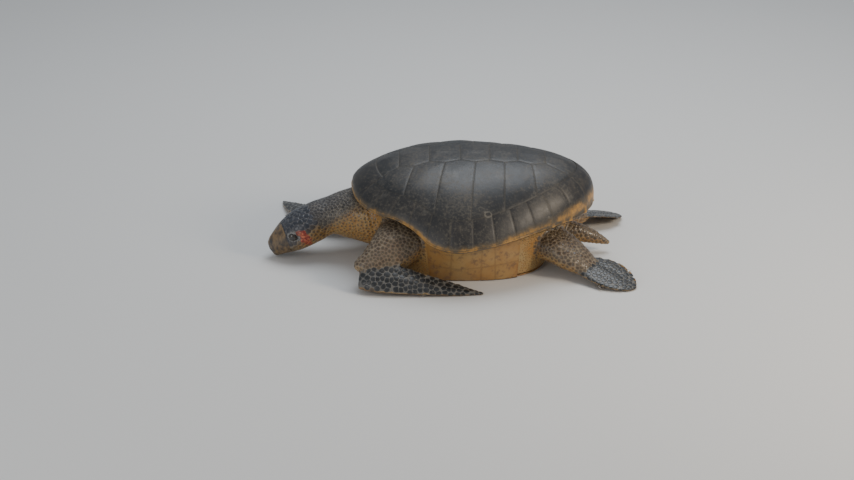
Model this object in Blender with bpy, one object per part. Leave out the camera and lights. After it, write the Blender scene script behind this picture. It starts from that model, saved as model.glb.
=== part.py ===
"""Olive ridley sea turtle, life size, lying on its plastron in mid crawl.

The head points along -X, the animal's left side faces -Y and the floor is z = 0. Lengths are metres.
The shell is one pair of height functions over a plan in polar form: an angle about the crown (0 at the
tail, 180 at the neck) and a reach from 0 at the crown to 1 at the rim. Every plate is a patch of it.
Neck, head, limbs and tail are lofts, cut to fit the shell and each other with a hair's gap.
"""

import math

import bmesh
import bpy
from mathutils import Vector

# --- driving dimensions -------------------------------------------------------------------------
GAP = 0.0003  # between touching pieces
FIT = 0.0004  # how far a cutter stands off the piece it makes room for

# the shell
CROWN_X = -0.02
CROWN_HEIGHT = 0.288
PLATE_THICKNESS = 0.003
CORE_CLEARANCE = 0.0070  # from the shell's surface to the body under the plates
RIM_REACH = 0.86  # where the marginal plates begin
NUCHAL_REACH = 0.78  # the nuchal plate reaches further in
RIM_THICKNESS = 0.014
RIM_EDGE = 0.005
NUCHAL_ANGLE = 159.0
TAIL_ANGLE = 15.0
STEPS_PER_HALF_SPAN = 2  # facets between two neighbouring seams on the vertebral border
COSTAL_ROWS = 5

# the rim's left half, from the tail to the neck: x, y, height
RIM_POINTS = (
    (0.322, 0.000, 0.150),
    (0.300, 0.078, 0.149),
    (0.262, 0.132, 0.148),
    (0.196, 0.190, 0.145),
    (0.105, 0.248, 0.135),
    (0.020, 0.285, 0.125),
    (-0.050, 0.297, 0.120),
    (-0.113, 0.279, 0.131),
    (-0.160, 0.243, 0.160),
    (-0.205, 0.212, 0.176),
    (-0.262, 0.166, 0.177),
    (-0.305, 0.100, 0.184),
    (-0.326, 0.000, 0.200),
)
# the dome's profile (1 - reach ** bulge) ** steepness at the tail, the sides and the neck
DOME_TAIL = (2.3, 0.30)
DOME_SIDE = (2.5, 0.80)
DOME_NECK = (2.2, 0.56)

# seams on the border between vertebral and costal plates, from the neck to the tail: x, half width
BORDER_SEAMS = (
    (-0.198, 0.062),
    (-0.158, 0.074),
    (-0.118, 0.060),
    (-0.076, 0.072),
    (-0.036, 0.059),
    (0.004, 0.070),
    (0.042, 0.057),
    (0.080, 0.067),
    (0.116, 0.053),
    (0.152, 0.062),
    (0.190, 0.048),
)
COSTAL_ANGLES = (159.0, 133.0, 110.0, 88.0, 66.0, 42.0, 15.0)  # where costal seams meet the rim

# the plastron and the bridges
PLASTRON_LENGTH = (0.220, 0.245)  # behind and ahead of the crown
PLASTRON_HALF_WIDTH = 0.206
UNDER_CURVE = 1.25
BELLY_THICKNESS = 0.004
CORE_LIFT = 0.002  # from what covers the trunk's underside to the trunk
BRIDGE_ANGLES = (54.0, 116.0)
# rings of the underside: 1 is the rim's inner wall, 0 the plastron's edge and -1 the middle
BRIDGE_SHARES = (0.985, 0.75, 0.5, 0.25, 0.02)
PLASTRON_SHARES = (-0.02, -0.5, -0.97)

# the head: a frame at the nape, turned a little to the animal's left and bowed to the floor
NAPE = Vector((-0.415, -0.012, 0.105))
HEAD_PITCH = 33.0
HEAD_YAW = 12.0
# along the head from the nape: distance, half width, height above and below the axis
HEAD_STATIONS = (
    (0.000, 0.057, 0.041, 0.058),
    (0.022, 0.060, 0.043, 0.056),
    (0.045, 0.063, 0.048, 0.051),
    (0.068, 0.061, 0.048, 0.047),
    (0.090, 0.053, 0.045, 0.042),
    (0.110, 0.042, 0.040, 0.036),
    (0.128, 0.030, 0.034, 0.030),
    (0.142, 0.019, 0.027, 0.026),
    (0.151, 0.010, 0.017, 0.023),
    (0.155, 0.004, 0.006, 0.018),
)
# the neck from inside the shell to the nape: centre, pitch, yaw, half width, height above and below
NECK_STATIONS = (
    ((-0.235, 0.000, 0.118), 0.0, 0.0, 0.104, 0.058, 0.090),
    ((-0.290, 0.000, 0.118), 10.0, 0.0, 0.096, 0.060, 0.088),
    ((-0.328, -0.001, 0.116), 19.0, 2.0, 0.082, 0.056, 0.082),
    ((-0.372, -0.005, 0.110), 27.0, 7.0, 0.066, 0.047, 0.070),
)
HEAD_SIDES = 20
EYE_RADIUS = 0.0165
EYE_PLACE = (0.081, 0.0400, 0.012)  # along, to the side and above the head's axis
MOUTH_CORNER = (0.078, -0.014)  # along and above the axis
MOUTH_SLOPE = -8.0
BEAK_START = 0.108
JAW_BEAK_START = 0.112

# the limbs
FORE_CHORD = 0.096
HIND_CHORD = 0.112
BLADE_SIDES = 14
LIMB_SIDES = 14

COLOURS = {
    "skin_dark": ((0.055, 0.058, 0.060), 0.45),
    "skin_warm": ((0.300, 0.200, 0.090), 0.50),
    "scute": ((0.060, 0.055, 0.045), 0.35),
    "rim": ((0.180, 0.130, 0.060), 0.40),
    "belly": ((0.550, 0.400, 0.170), 0.45),
    "horn": ((0.330, 0.230, 0.110), 0.35),
    "eye": ((0.012, 0.010, 0.010), 0.08),
}


# --- small helpers ------------------------------------------------------------------------------
def spline(table, at):
    """A smooth curve through rows of (position, value, ...), read at one position."""
    last = len(table) - 1
    i = 0
    while i < last - 1 and at > table[i + 1][0]:
        i += 1
    a, b = table[i], table[i + 1]
    before, after = table[max(i - 1, 0)], table[min(i + 2, last)]
    span = b[0] - a[0]
    t = min(max((at - a[0]) / span, 0.0), 1.0)
    values = []
    for k in range(1, len(a)):
        slope_a = (b[k] - before[k]) / (b[0] - before[0]) * span
        slope_b = (after[k] - a[k]) / (after[0] - a[0]) * span
        h = t * t * (3.0 - 2.0 * t)
        rise = t * (1.0 - t) ** 2
        fall = t * t * (1.0 - t)
        values.append(a[k] * (1.0 - h) + b[k] * h + slope_a * rise - slope_b * fall)
    return values


def mix(a, b, t):
    return a + (b - a) * t


def power(value, exponent):
    return math.copysign(abs(value) ** exponent, value)


def material(name):
    made = bpy.data.materials.get(name)
    if made:
        return made
    colour, roughness = COLOURS[name]
    made = bpy.data.materials.new(name)
    made.use_nodes = True
    shader = made.node_tree.nodes["Principled BSDF"]
    shader.inputs["Base Color"].default_value = (*colour, 1.0)
    shader.inputs["Roughness"].default_value = roughness
    shader.inputs["Metallic"].default_value = 0.0
    return made


def add_object(name, bm, colour):
    """A mesh object from a bmesh whose faces are turned outward, under the turtle's empty."""
    bmesh.ops.remove_doubles(bm, verts=bm.verts, dist=1e-5)
    bmesh.ops.recalc_face_normals(bm, faces=bm.faces)
    mesh = bpy.data.meshes.new(name)
    bm.to_mesh(mesh)
    bm.free()
    mesh.shade_smooth()
    mesh.set_sharp_from_angle(angle=math.radians(40.0))
    made = bpy.data.objects.new(name, mesh)
    bpy.context.scene.collection.objects.link(made)
    if colour:
        mesh.materials.append(material(colour))
    made.parent = bpy.data.objects["turtle"]
    return made


def add_cutter(name, bm, grow):
    """The same shape grown by the fit, kept as a guide that isn't part of the model."""
    made = add_object(name, bm, None)
    for vertex, normal in [(v, v.normal.copy()) for v in made.data.vertices]:
        vertex.co += normal * grow
    made.hide_render = True
    made.display_type = "WIRE"
    return made


def cut(target, *cutters):
    for cutter in cutters:
        modifier = target.modifiers.new("fit to " + cutter.name, "BOOLEAN")
        modifier.object = cutter
        modifier.operation = "DIFFERENCE"
        modifier.solver = "EXACT"


def skin_grid(bm, rows, closed):
    """Faces between rows of points; each row closes on itself if closed is set."""
    made = [[bm.verts.new(p) for p in row] for row in rows]
    count = len(made[0])
    last = count if closed else count - 1
    for low, high in zip(made, made[1:]):
        for i in range(last):
            add_quad(bm, low[i], low[(i + 1) % count], high[(i + 1) % count], high[i])
    return made


def add_quad(bm, a, b, c, d):
    """Two triangles along the shorter diagonal, so that surfaces a gap apart fold alike."""
    if (a.co - c.co).length <= (b.co - d.co).length + 1e-5:
        bm.faces.new((a, b, c))
        bm.faces.new((a, c, d))
    else:
        bm.faces.new((a, b, d))
        bm.faces.new((b, c, d))


def loft(rings):
    """A closed body through rings of points, with flat ends."""
    bm = bmesh.new()
    made = skin_grid(bm, rings, closed=True)
    bm.faces.new(made[0])
    bm.faces.new(list(reversed(made[-1])))
    return bm


def slab(top, bottom):
    """A closed body between two grids of points of the same size."""
    bm = bmesh.new()
    upper = skin_grid(bm, top, closed=False)
    lower = skin_grid(bm, bottom, closed=False)

    def border(grid):
        tail = [row[-1] for row in grid[1:-1]]
        head = [row[0] for row in reversed(grid[1:-1])]
        return grid[0] + tail + list(reversed(grid[-1])) + head

    rim_up, rim_down = border(upper), border(lower)
    for i, a in enumerate(rim_up):
        j = (i + 1) % len(rim_up)
        bm.faces.new((a, rim_up[j], rim_down[j], rim_down[i]))
    return bm


# --- the shell's surface ------------------------------------------------------------------------
def rim_table():
    """The rim's radius and height by angle, carried on past both ends so that it turns smoothly."""
    rows = []
    for x, y, z in RIM_POINTS:
        angle = math.degrees(math.atan2(y, x - CROWN_X))
        rows.append((angle, math.hypot(x - CROWN_X, y), z))
    before = [(-a, r, z) for a, r, z in rows[2:0:-1]]
    after = [(360.0 - a, r, z) for a, r, z in rows[-2:-4:-1]]
    return before + rows + after


RIM_TABLE = rim_table()


def rim(angle):
    """Radius and height of the shell's edge. Both sides are alike."""
    return spline(RIM_TABLE, abs(angle))


def dome(angle, reach):
    """The height of the dome between the rim, 0, and the crown, 1."""
    turn = math.cos(math.radians(angle))
    end = DOME_TAIL if turn > 0.0 else DOME_NECK
    share = abs(turn) ** 2.0
    bulge = mix(DOME_SIDE[0], end[0], share)
    steepness = mix(DOME_SIDE[1], end[1], share)
    return max(1.0 - min(reach, 1.0) ** bulge, 0.0) ** steepness


def plan(angle, reach):
    radius = rim(angle)[0] * reach
    turn = math.radians(angle)
    return Vector((CROWN_X + radius * math.cos(turn), radius * math.sin(turn), 0.0))


def polar(point):
    angle = math.degrees(math.atan2(point.y, point.x - CROWN_X))
    return angle, math.hypot(point.x - CROWN_X, point.y) / rim(angle)[0]


def top_height(point):
    angle, reach = polar(point)
    edge = rim(angle)[1]
    return edge + (CROWN_HEIGHT - edge) * dome(angle, reach)


def on_shell(point, depth=0.0):
    """The point of the shell's upper surface over a plan point, sunk along its normal."""
    step = 0.002
    east = top_height(point + Vector((step, 0, 0))) - top_height(point - Vector((step, 0, 0)))
    north = top_height(point + Vector((0, step, 0))) - top_height(point - Vector((0, step, 0)))
    normal = Vector((-east, -north, 2.0 * step)).normalized()
    return Vector((point.x, point.y, top_height(point))) - normal * depth


def flat_reach(angle):
    """How far out the flat plastron goes, as a share of the rim's radius."""
    turn = math.radians(angle)
    along = PLASTRON_LENGTH[0] if math.cos(turn) > 0.0 else PLASTRON_LENGTH[1]
    spread = (abs(math.cos(turn)) / along) ** 2.6 + (abs(math.sin(turn)) / PLASTRON_HALF_WIDTH) ** 2.6
    return spread ** (-1.0 / 2.6) / rim(angle)[0]


def under_height(angle, reach):
    """The underside: flat in the middle, then rising to the rim's lower edge."""
    flat = flat_reach(angle)
    climb = min(max((reach - flat) / (RIM_REACH - flat), 0.0), 1.0)
    return (rim(angle)[1] - RIM_THICKNESS) * climb**UNDER_CURVE


def under(angle, reach, lift=0.0):
    point = plan(angle, reach)
    return Vector((point.x, point.y, under_height(angle, reach) + lift))


# --- seams --------------------------------------------------------------------------------------
def border_points():
    """Seam ends on the vertebral border, from the nuchal plate's corner to the tail's."""
    front = plan(NUCHAL_ANGLE, NUCHAL_REACH)
    rear = plan(TAIL_ANGLE, RIM_REACH)
    middle = [Vector((x, y, 0.0)) for x, y in BORDER_SEAMS]
    return [front, *middle, rear]


def fine_border(first, last):
    """The border from one seam end to another, with its facet points."""
    ends = border_points()
    points = [ends[first]]
    for i in range(first, last):
        for k in range(1, STEPS_PER_HALF_SPAN + 1):
            points.append(ends[i].lerp(ends[i + 1], k / STEPS_PER_HALF_SPAN))
    return points


def rim_angles():
    """The angles of the rim's facets, from the nuchal plate to the tail."""
    steps = 2 * STEPS_PER_HALF_SPAN
    angles = [COSTAL_ANGLES[0]]
    for a, b in zip(COSTAL_ANGLES, COSTAL_ANGLES[1:]):
        angles += [mix(a, b, k / steps) for k in range(1, steps + 1)]
    return angles


def mirrored(points, side):
    return [Vector((p.x, p.y * side, p.z)) for p in points]


def shrink(grid):
    """Draws the border of a grid of plan points in by half a gap."""
    rows = [list(row) for row in grid]
    half = GAP / 2.0 + 0.0001
    for row in rows:
        row[0] = row[0] + (row[1] - row[0]).normalized() * half
        row[-1] = row[-1] + (row[-2] - row[-1]).normalized() * half
    for i in range(len(rows[0])):
        rows[0][i] = rows[0][i] + (rows[1][i] - rows[0][i]).normalized() * half
        rows[-1][i] = rows[-1][i] + (rows[-2][i] - rows[-1][i]).normalized() * half
    return rows


def make_plate(name, grid, colour="scute"):
    """A horn plate over a grid of plan points, as thick as PLATE_THICKNESS."""
    rows = shrink(grid)
    top = [[on_shell(p) for p in row] for row in rows]
    bottom = [[on_shell(p, PLATE_THICKNESS) for p in row] for row in rows]
    return add_object(name, slab(top, bottom), colour)


def between(first, second, rows):
    """Rows of points from one line to another."""
    return [[a.lerp(b, k / rows) for a, b in zip(first, second)] for k in range(rows + 1)]


def make_costals():
    angles = rim_angles()
    per_plate = 2 * STEPS_PER_HALF_SPAN
    for side, word in ((-1.0, "left"), (1.0, "right")):
        for i in range(len(COSTAL_ANGLES) - 1):
            inner = fine_border(2 * i, 2 * i + 2)
            outer = [plan(a, RIM_REACH) for a in angles[per_plate * i : per_plate * (i + 1) + 1]]
            grid = between(mirrored(inner, side), mirrored(outer, side), COSTAL_ROWS)
            make_plate(f"costal_{word}_{i + 1}", grid)


def make_vertebrals():
    spans = [0, *range(1, len(BORDER_SEAMS) + 1, 2), len(BORDER_SEAMS) + 1]
    for i, (first, last) in enumerate(zip(spans, spans[1:])):
        edge = fine_border(first, last)
        grid = between(mirrored(edge, -1.0), edge, 4)
        if first == 0:
            bend_end(grid, 0, NUCHAL_REACH, 180.0)
        if last == spans[-1]:
            bend_end(grid, -1, RIM_REACH, 0.0)
        make_plate(f"vertebral_{i + 1}", grid)


def bend_end(grid, end, reach, middle):
    """Lays the end points of the rows on the round border of the plate beyond."""
    half = NUCHAL_ANGLE - 180.0 if middle else TAIL_ANGLE
    for k, row in enumerate(grid):
        angle = middle - half * (1.0 - 2.0 * k / (len(grid) - 1)) if not middle else 0.0
        if middle:
            angle = 180.0 + half * (2.0 * k / (len(grid) - 1) - 1.0)
        row[end] = plan_round(angle, reach)


def plan_round(angle, reach):
    """A plan point for any angle, also past 180 degrees."""
    if angle > 180.0:
        point = plan(360.0 - angle, reach)
        return Vector((point.x, -point.y, 0.0))
    return plan(angle, reach) if angle >= 0.0 else mirrored([plan(-angle, reach)], -1.0)[0]


def make_nuchal():
    """A plate that thickens into the same wedge as the marginals where it is part of the rim."""
    half = 180.0 - NUCHAL_ANGLE - 0.1
    rows = []
    for reach in (NUCHAL_REACH, RIM_REACH - 0.002, RIM_REACH + 0.001, 0.95, 1.0):
        rows.append([plan_round(180.0 + half * (0.5 * j - 1.0), reach) for j in range(5)])
    rows = shrink(rows)
    top = [[on_shell(p) for p in row] for row in rows]
    bottom = [[on_shell(p, PLATE_THICKNESS) for p in row] for row in rows[:2]]
    for row, drop in zip(rows[2:], (RIM_THICKNESS, RIM_THICKNESS * 0.8, RIM_EDGE)):
        bottom.append([Vector((p.x, p.y, rim(polar(p)[0])[1] - drop)) for p in row])
    add_object("nuchal", slab(top, bottom), "scute")


def rim_section(angle, grow=0.0):
    """A loop round the rim at one angle: over the top, round the edge, back under, up the wall."""
    edge = rim(angle)[1]
    steps = (RIM_REACH + 0.001, 0.91, 0.955, 0.985)
    points = [plan_round(angle, reach) for reach in steps]
    loop = [Vector((p.x, p.y, top_height(p) + grow)) for p in points]
    out = plan_round(angle, 1.0 + grow / rim(angle)[0])
    loop.append(Vector((out.x, out.y, edge + grow)))
    loop.append(Vector((out.x, out.y, edge - RIM_EDGE - grow)))
    under_edge = plan_round(angle, 0.95)
    loop.append(Vector((under_edge.x, under_edge.y, edge - RIM_THICKNESS * 0.8 - grow)))
    inner = points[0]
    loop.append(Vector((inner.x, inner.y, edge - RIM_THICKNESS - grow)))
    return loop


def make_rims():
    trim = 0.06  # degrees at each end, half of the seam
    for side, word in ((-1.0, "left"), (1.0, "right")):
        angles = rim_angles()
        angles[0] -= trim
        angles[-1] += trim
        rings = [mirrored(rim_section(a), side) for a in angles]
        add_object(f"marginals_{word}", loft(rings), "rim")
    angles = [TAIL_ANGLE - trim, TAIL_ANGLE / 2.0, 0.0]
    rear = [mirrored(rim_section(a), -1.0) for a in angles]
    rear += [rim_section(a) for a in reversed(angles[:-1])]
    add_object("supracaudals", loft(rear), "rim")


def full_circle():
    """Facet angles all round: the rim's, with the nuchal and tail plates' between them."""
    right = [0.0, TAIL_ANGLE / 2.0, *reversed(rim_angles()), mix(NUCHAL_ANGLE, 180.0, 0.5), 180.0]
    return right + [360.0 - a for a in reversed(right[1:-1])]


def ring_at(reach, height):
    """A ring round the shell at one reach, with height as a function of angle and reach."""
    ring = []
    for angle in full_circle():
        point = plan_round(angle, reach)
        fold = min(angle, 360.0 - angle)
        ring.append(Vector((point.x, point.y, height(fold, reach))))
    return ring


def bridge_covers(angle):
    return BRIDGE_ANGLES[0] <= angle <= BRIDGE_ANGLES[1]


def core_floor(angle, reach):
    """The trunk's underside, raised where the plastron and the bridges cover it."""
    covered = reach <= flat_reach(angle) * 1.02 or bridge_covers(angle)
    return under_height(angle, reach) + CORE_LIFT + (BELLY_THICKNESS if covered else 0.0)


def make_trunk():
    rings = []
    for reach in (0.02, 0.25, 0.45, 0.62, 0.76, RIM_REACH - 0.004):
        points = ring_at(reach, lambda angle, reach: 0.0)
        rings.append([on_shell(p, CORE_CLEARANCE) for p in points])
    for share in BRIDGE_SHARES + PLASTRON_SHARES:
        rings.append(belly_ring(share, core_floor))
    add_object("trunk", loft(rings), "skin_warm")


def belly_reach(angle, share):
    """Share 1 is the rim's inner wall, 0 the flat plastron's edge and -1 the middle."""
    flat = flat_reach(angle)
    return mix(flat, RIM_REACH, share) if share > 0.0 else flat * (1.0 + share)


def belly_ring(share, height):
    ring = []
    for angle in full_circle():
        fold = min(angle, 360.0 - angle)
        reach = belly_reach(fold, share)
        point = plan_round(angle, reach)
        ring.append(Vector((point.x, point.y, height(fold, reach))))
    return ring


def make_belly():
    """The plastron is one flat plate; a bridge joins it to the marginals on each side."""
    low = [belly_ring(share, under_height) for share in reversed(PLASTRON_SHARES)]
    high = [[p + Vector((0, 0, BELLY_THICKNESS)) for p in ring] for ring in low]
    add_object("plastron", loft([*low, *reversed(high)]), "belly")
    first, last = BRIDGE_ANGLES
    angles = [a for a in rim_angles() if first < a < last]
    for side, word in ((-1.0, "left"), (1.0, "right")):
        rows_low, rows_high = [], []
        for share in BRIDGE_SHARES:
            row = [under(a, belly_reach(a, share)) for a in angles]
            rows_low.append(mirrored(row, side))
            rows_high.append([p + Vector((0, 0, BELLY_THICKNESS)) for p in mirrored(row, side)])
        add_object(f"bridge_{word}", slab(rows_low, rows_high), "belly")


def shell_envelope(grow):
    """The whole shell as one closed body, grown: what the soft parts are cut back to."""
    rings = []
    for reach in (0.02, 0.5, 0.76, RIM_REACH, 0.91, 0.955, 0.985):
        points = ring_at(reach, lambda angle, reach: 0.0)
        rings.append([Vector((p.x, p.y, top_height(p) + grow)) for p in points])
    outer = 1.0 + grow / 0.3
    rings.append(ring_at(outer, lambda angle, reach: rim(angle)[1] + grow))
    rings.append(ring_at(outer, lambda angle, reach: rim(angle)[1] - RIM_EDGE - grow))
    rings.append(ring_at(0.95, lambda angle, reach: rim(angle)[1] - RIM_THICKNESS * 0.8 - grow))
    rings.append(ring_at(RIM_REACH, lambda angle, reach: under_height(angle, reach) - grow))
    for share in BRIDGE_SHARES + PLASTRON_SHARES:
        rings.append(belly_ring(share, lambda angle, reach: under_height(angle, reach) - grow))
    return loft(rings)


# --- head and neck ------------------------------------------------------------------------------
def facing(pitch, yaw):
    """Forward, left and up directions of a head bowed by pitch and turned left by yaw."""
    p, w = math.radians(pitch), math.radians(yaw)
    forward = Vector((-math.cos(w) * math.cos(p), -math.sin(w) * math.cos(p), -math.sin(p)))
    left = Vector((math.sin(w), -math.cos(w), 0.0))
    return forward, left, forward.cross(left)


def head_point(along, side, above):
    forward, left, up = facing(HEAD_PITCH, HEAD_YAW)
    return NAPE + forward * along + left * side + up * above


def body_ring(centre, left, up, half_width, above, below, sides, squareness=0.9):
    ring = []
    for k in range(sides):
        turn = 2.0 * math.pi * k / sides
        across = power(math.cos(turn), squareness) * half_width
        rise = power(math.sin(turn), squareness) * (above if math.sin(turn) > 0.0 else below)
        ring.append(centre + left * across + up * rise)
    return ring


def head_and_neck():
    rings = []
    for centre, pitch, yaw, half_width, above, below in NECK_STATIONS:
        forward, left, up = facing(pitch, yaw)
        rings.append(body_ring(Vector(centre), left, up, half_width, above, below, HEAD_SIDES))
    forward, left, up = facing(HEAD_PITCH, HEAD_YAW)
    for along, half_width, above, below in HEAD_STATIONS:
        centre = NAPE + forward * along
        rings.append(body_ring(centre, left, up, half_width, above, below, HEAD_SIDES))
    return loft(rings)


def keep_side(bm, point, normal):
    """Cuts a closed body with a plane, keeps what lies behind the normal and closes the cut."""
    geometry = bm.verts[:] + bm.edges[:] + bm.faces[:]
    bmesh.ops.bisect_plane(
        bm, geom=geometry, dist=1e-6, plane_co=point, plane_no=normal, clear_outer=True
    )
    open_edges = [e for e in bm.edges if e.is_boundary]
    if open_edges:
        bmesh.ops.holes_fill(bm, edges=open_edges, sides=0)
    return bm


def parted(bm, point, normal):
    """The two parts of a closed body either side of a plane, half a gap back from it."""
    other = bm.copy()
    behind = keep_side(bm, point - normal * GAP / 2.0, normal)
    ahead = keep_side(other, point + normal * GAP / 2.0, -normal)
    return behind, ahead


def make_head(envelope):
    forward, left, up = facing(HEAD_PITCH, HEAD_YAW)
    neck, head = parted(head_and_neck(), NAPE + forward * 0.004, forward)
    cut(add_object("neck", neck, "skin_warm"), envelope)

    slope = math.radians(MOUTH_SLOPE)
    corner = head_point(MOUTH_CORNER[0], 0.0, MOUTH_CORNER[1])
    mouth_normal = up * math.cos(slope) - forward * math.sin(slope)
    # the jaw: below the mouth's plane and ahead of its corner
    jaw = head.copy()
    keep_side(jaw, corner - mouth_normal * GAP / 2.0, mouth_normal)
    keep_side(jaw, corner + forward * GAP / 2.0, -forward)
    jaw, jaw_beak = parted(jaw, head_point(JAW_BEAK_START, 0.0, 0.0), forward)
    add_object("lower_jaw", jaw, "skin_warm")
    add_object("beak_lower", jaw_beak, "horn")
    # the rest of the head has a step at the mouth's corner
    upper, lower = parted(head, corner, -mouth_normal)
    skull, beak = parted(upper, head_point(BEAK_START, 0.0, 0.0), forward)
    throat = keep_side(lower, corner - forward * GAP / 2.0, forward)
    add_object("beak_upper", beak, "horn")
    add_object("throat", throat, "skin_warm")
    skull_object = add_object("head", skull, "skin_dark")
    for side, word in ((1.0, "left"), (-1.0, "right")):
        centre = head_point(EYE_PLACE[0], EYE_PLACE[1] * side, EYE_PLACE[2])
        ball = bmesh.new()
        bmesh.ops.create_uvsphere(ball, u_segments=14, v_segments=9, radius=EYE_RADIUS)
        bmesh.ops.translate(ball, verts=ball.verts, vec=centre)
        cutter = add_cutter(f"socket_{word}", ball.copy(), FIT)
        add_object(f"eye_{word}", ball, "eye")
        cut(skull_object, cutter)


# --- limbs and tail -----------------------------------------------------------------------------
def limb_rings(stations, sides=LIMB_SIDES):
    """Rings from (centre, half width vector, half thickness vector) rows."""
    rings = []
    for centre, wide, thick in stations:
        ring = []
        for k in range(sides):
            turn = 2.0 * math.pi * k / sides
            across = power(math.cos(turn), 0.9)
            rise = power(math.sin(turn), 0.9)
            ring.append(Vector(centre) + Vector(wide) * across + Vector(thick) * rise)
        rings.append(ring)
    return rings


def blade_rings(root, tip, chord_at, half_thickness, tilt, lift, trailing, bow):
    """A flipper's blade laid on the floor on its leading edge.

    root and tip are plan points of its middle line, chord_at gives the chord at each share of the
    length, tilt the rise of the trailing edge in degrees at both ends, lift the height of the lower
    edge at both ends, trailing the plan direction of the trailing edge, bow the line's bend.
    """
    axis = (tip - root).normalized()
    across = Vector((-axis.y, axis.x, 0.0))
    if across.dot(trailing) < 0.0:
        across = -across
    rings = []
    for share in (0.0, 0.08, 0.2, 0.34, 0.48, 0.62, 0.75, 0.86, 0.94, 0.985, 1.0):
        chord = chord_at(share)
        thick = mix(half_thickness, 0.0022, share)
        slope = math.radians(mix(tilt[0], tilt[1], share))
        towards = across * math.cos(slope) + Vector((0, 0, math.sin(slope)))
        normal = Vector((0, 0, math.cos(slope))) - across * math.sin(slope)
        centre = root.lerp(tip, share) + across * bow * math.sin(math.pi * share)
        low = mix(lift[0], lift[1], share)
        centre.z = low + 0.5 * chord * math.sin(slope) + thick * math.cos(slope)
        ring = []
        for k in range(BLADE_SIDES):
            turn = 2.0 * math.pi * k / BLADE_SIDES
            back = math.cos(turn)
            body = thick * (1.0 - 0.55 * back) / 1.1
            ring.append(centre + towards * back * 0.5 * chord + normal * math.sin(turn) * body)
        for point in ring:
            point.z = max(point.z, 0.0)
        rings.append(ring)
    return rings


def fore_chord(share):
    """Broad at the wrist, drawn out to a long rounded tip."""
    swell = 1.0 + 0.10 * math.sin(math.pi * min(share * 2.2, 1.0))
    round_root = min(0.40 + 0.60 * math.sqrt(share / 0.10), 1.0)
    return FORE_CHORD * (0.86 * swell * round_root * (1.0 - share**1.7) ** 0.75 + 0.05)


def hind_chord(share):
    """A paddle: narrow at the ankle, broad near its round end."""
    swell = 0.62 + 0.46 * math.sin(math.pi * min(share * 0.75, 1.0)) ** 1.4
    return HIND_CHORD * (swell * (1.0 - share**5.0) ** 0.5 + 0.04)


ARM_LEFT = (
    ((-0.165, -0.095, 0.112), (0.072, 0.0, 0.0), (0.0, 0.0, 0.046)),
    ((-0.182, -0.150, 0.108), (0.074, 0.0, 0.0), (0.0, -0.006, 0.050)),
    ((-0.198, -0.188, 0.096), (0.070, -0.010, 0.0), (-0.004, -0.016, 0.048)),
    ((-0.222, -0.214, 0.076), (0.060, -0.014, -0.004), (-0.006, -0.022, 0.040)),
    ((-0.252, -0.234, 0.060), (0.046, -0.018, -0.006), (-0.008, -0.021, 0.031)),
    ((-0.278, -0.249, 0.052), (0.033, -0.014, -0.006), (-0.008, -0.016, 0.023)),
    ((-0.293, -0.258, 0.047), (0.018, -0.008, -0.004), (-0.006, -0.010, 0.014)),
)
ARM_RIGHT = (
    ((-0.165, 0.095, 0.112), (0.072, 0.0, 0.0), (0.0, 0.0, 0.046)),
    ((-0.190, 0.145, 0.108), (0.060, 0.034, 0.0), (0.0, 0.004, 0.048)),
    ((-0.236, 0.166, 0.098), (0.022, 0.060, 0.0), (-0.004, 0.0, 0.044)),
    ((-0.288, 0.166, 0.084), (-0.006, 0.057, 0.0), (-0.006, 0.0, 0.037)),
    ((-0.334, 0.156, 0.070), (-0.010, 0.053, -0.004), (-0.006, 0.0, 0.031)),
    ((-0.374, 0.150, 0.060), (-0.002, 0.046, -0.006), (-0.006, 0.0, 0.025)),
    ((-0.400, 0.152, 0.052), (0.006, 0.034, -0.006), (-0.006, 0.0, 0.018)),
    ((-0.412, 0.156, 0.048), (0.006, 0.018, -0.004), (-0.004, 0.0, 0.010)),
)


def leg_stations(side):
    return (
        ((0.160, 0.085 * side, 0.074), (-0.010, 0.064 * side, 0.0), (0.0, 0.0, 0.044)),
        ((0.215, 0.120 * side, 0.068), (-0.026, 0.060 * side, 0.0), (0.0, 0.0, 0.042)),
        ((0.252, 0.152 * side, 0.054), (-0.032, 0.048 * side, 0.0), (0.0, 0.0, 0.036)),
        ((0.284, 0.178 * side, 0.040), (-0.028, 0.036 * side, 0.0), (0.0, 0.0, 0.026)),
        ((0.306, 0.194 * side, 0.030), (-0.018, 0.022 * side, 0.0), (0.0, 0.0, 0.014)),
    )


def make_limb(words, arm, blade, envelope, claw):
    """An upper part cut back to the shell, the blade it carries, and the blade's claw."""
    upper_name, blade_name, claw_name = words
    upper = add_object(upper_name, loft(limb_rings(arm)), "skin_warm")
    cut(upper, envelope)
    upper_cutter = add_cutter(upper_name + "_cutter", loft(limb_rings(arm)), FIT)
    cut(add_object(blade_name, loft(blade), "skin_dark"), upper_cutter)
    blade_cutter = add_cutter(blade_name + "_cutter", loft(blade), FIT)
    cut(add_object(claw_name, claw, "horn"), blade_cutter)


def make_claw(base, tip, radius):
    axis = (tip - base).normalized()
    side = axis.cross(Vector((0, 0, 1))).normalized()
    rise = side.cross(axis)
    rings = []
    for share in (0.0, 0.4, 0.75, 1.0):
        centre = base.lerp(tip, share) + rise * radius * 0.5 * share * (1.0 - share)
        size = radius * (1.0 - 0.88 * share)
        rings.append(body_ring(centre, side, rise, size, size, size * 0.8, 8))
    return loft(rings)


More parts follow.
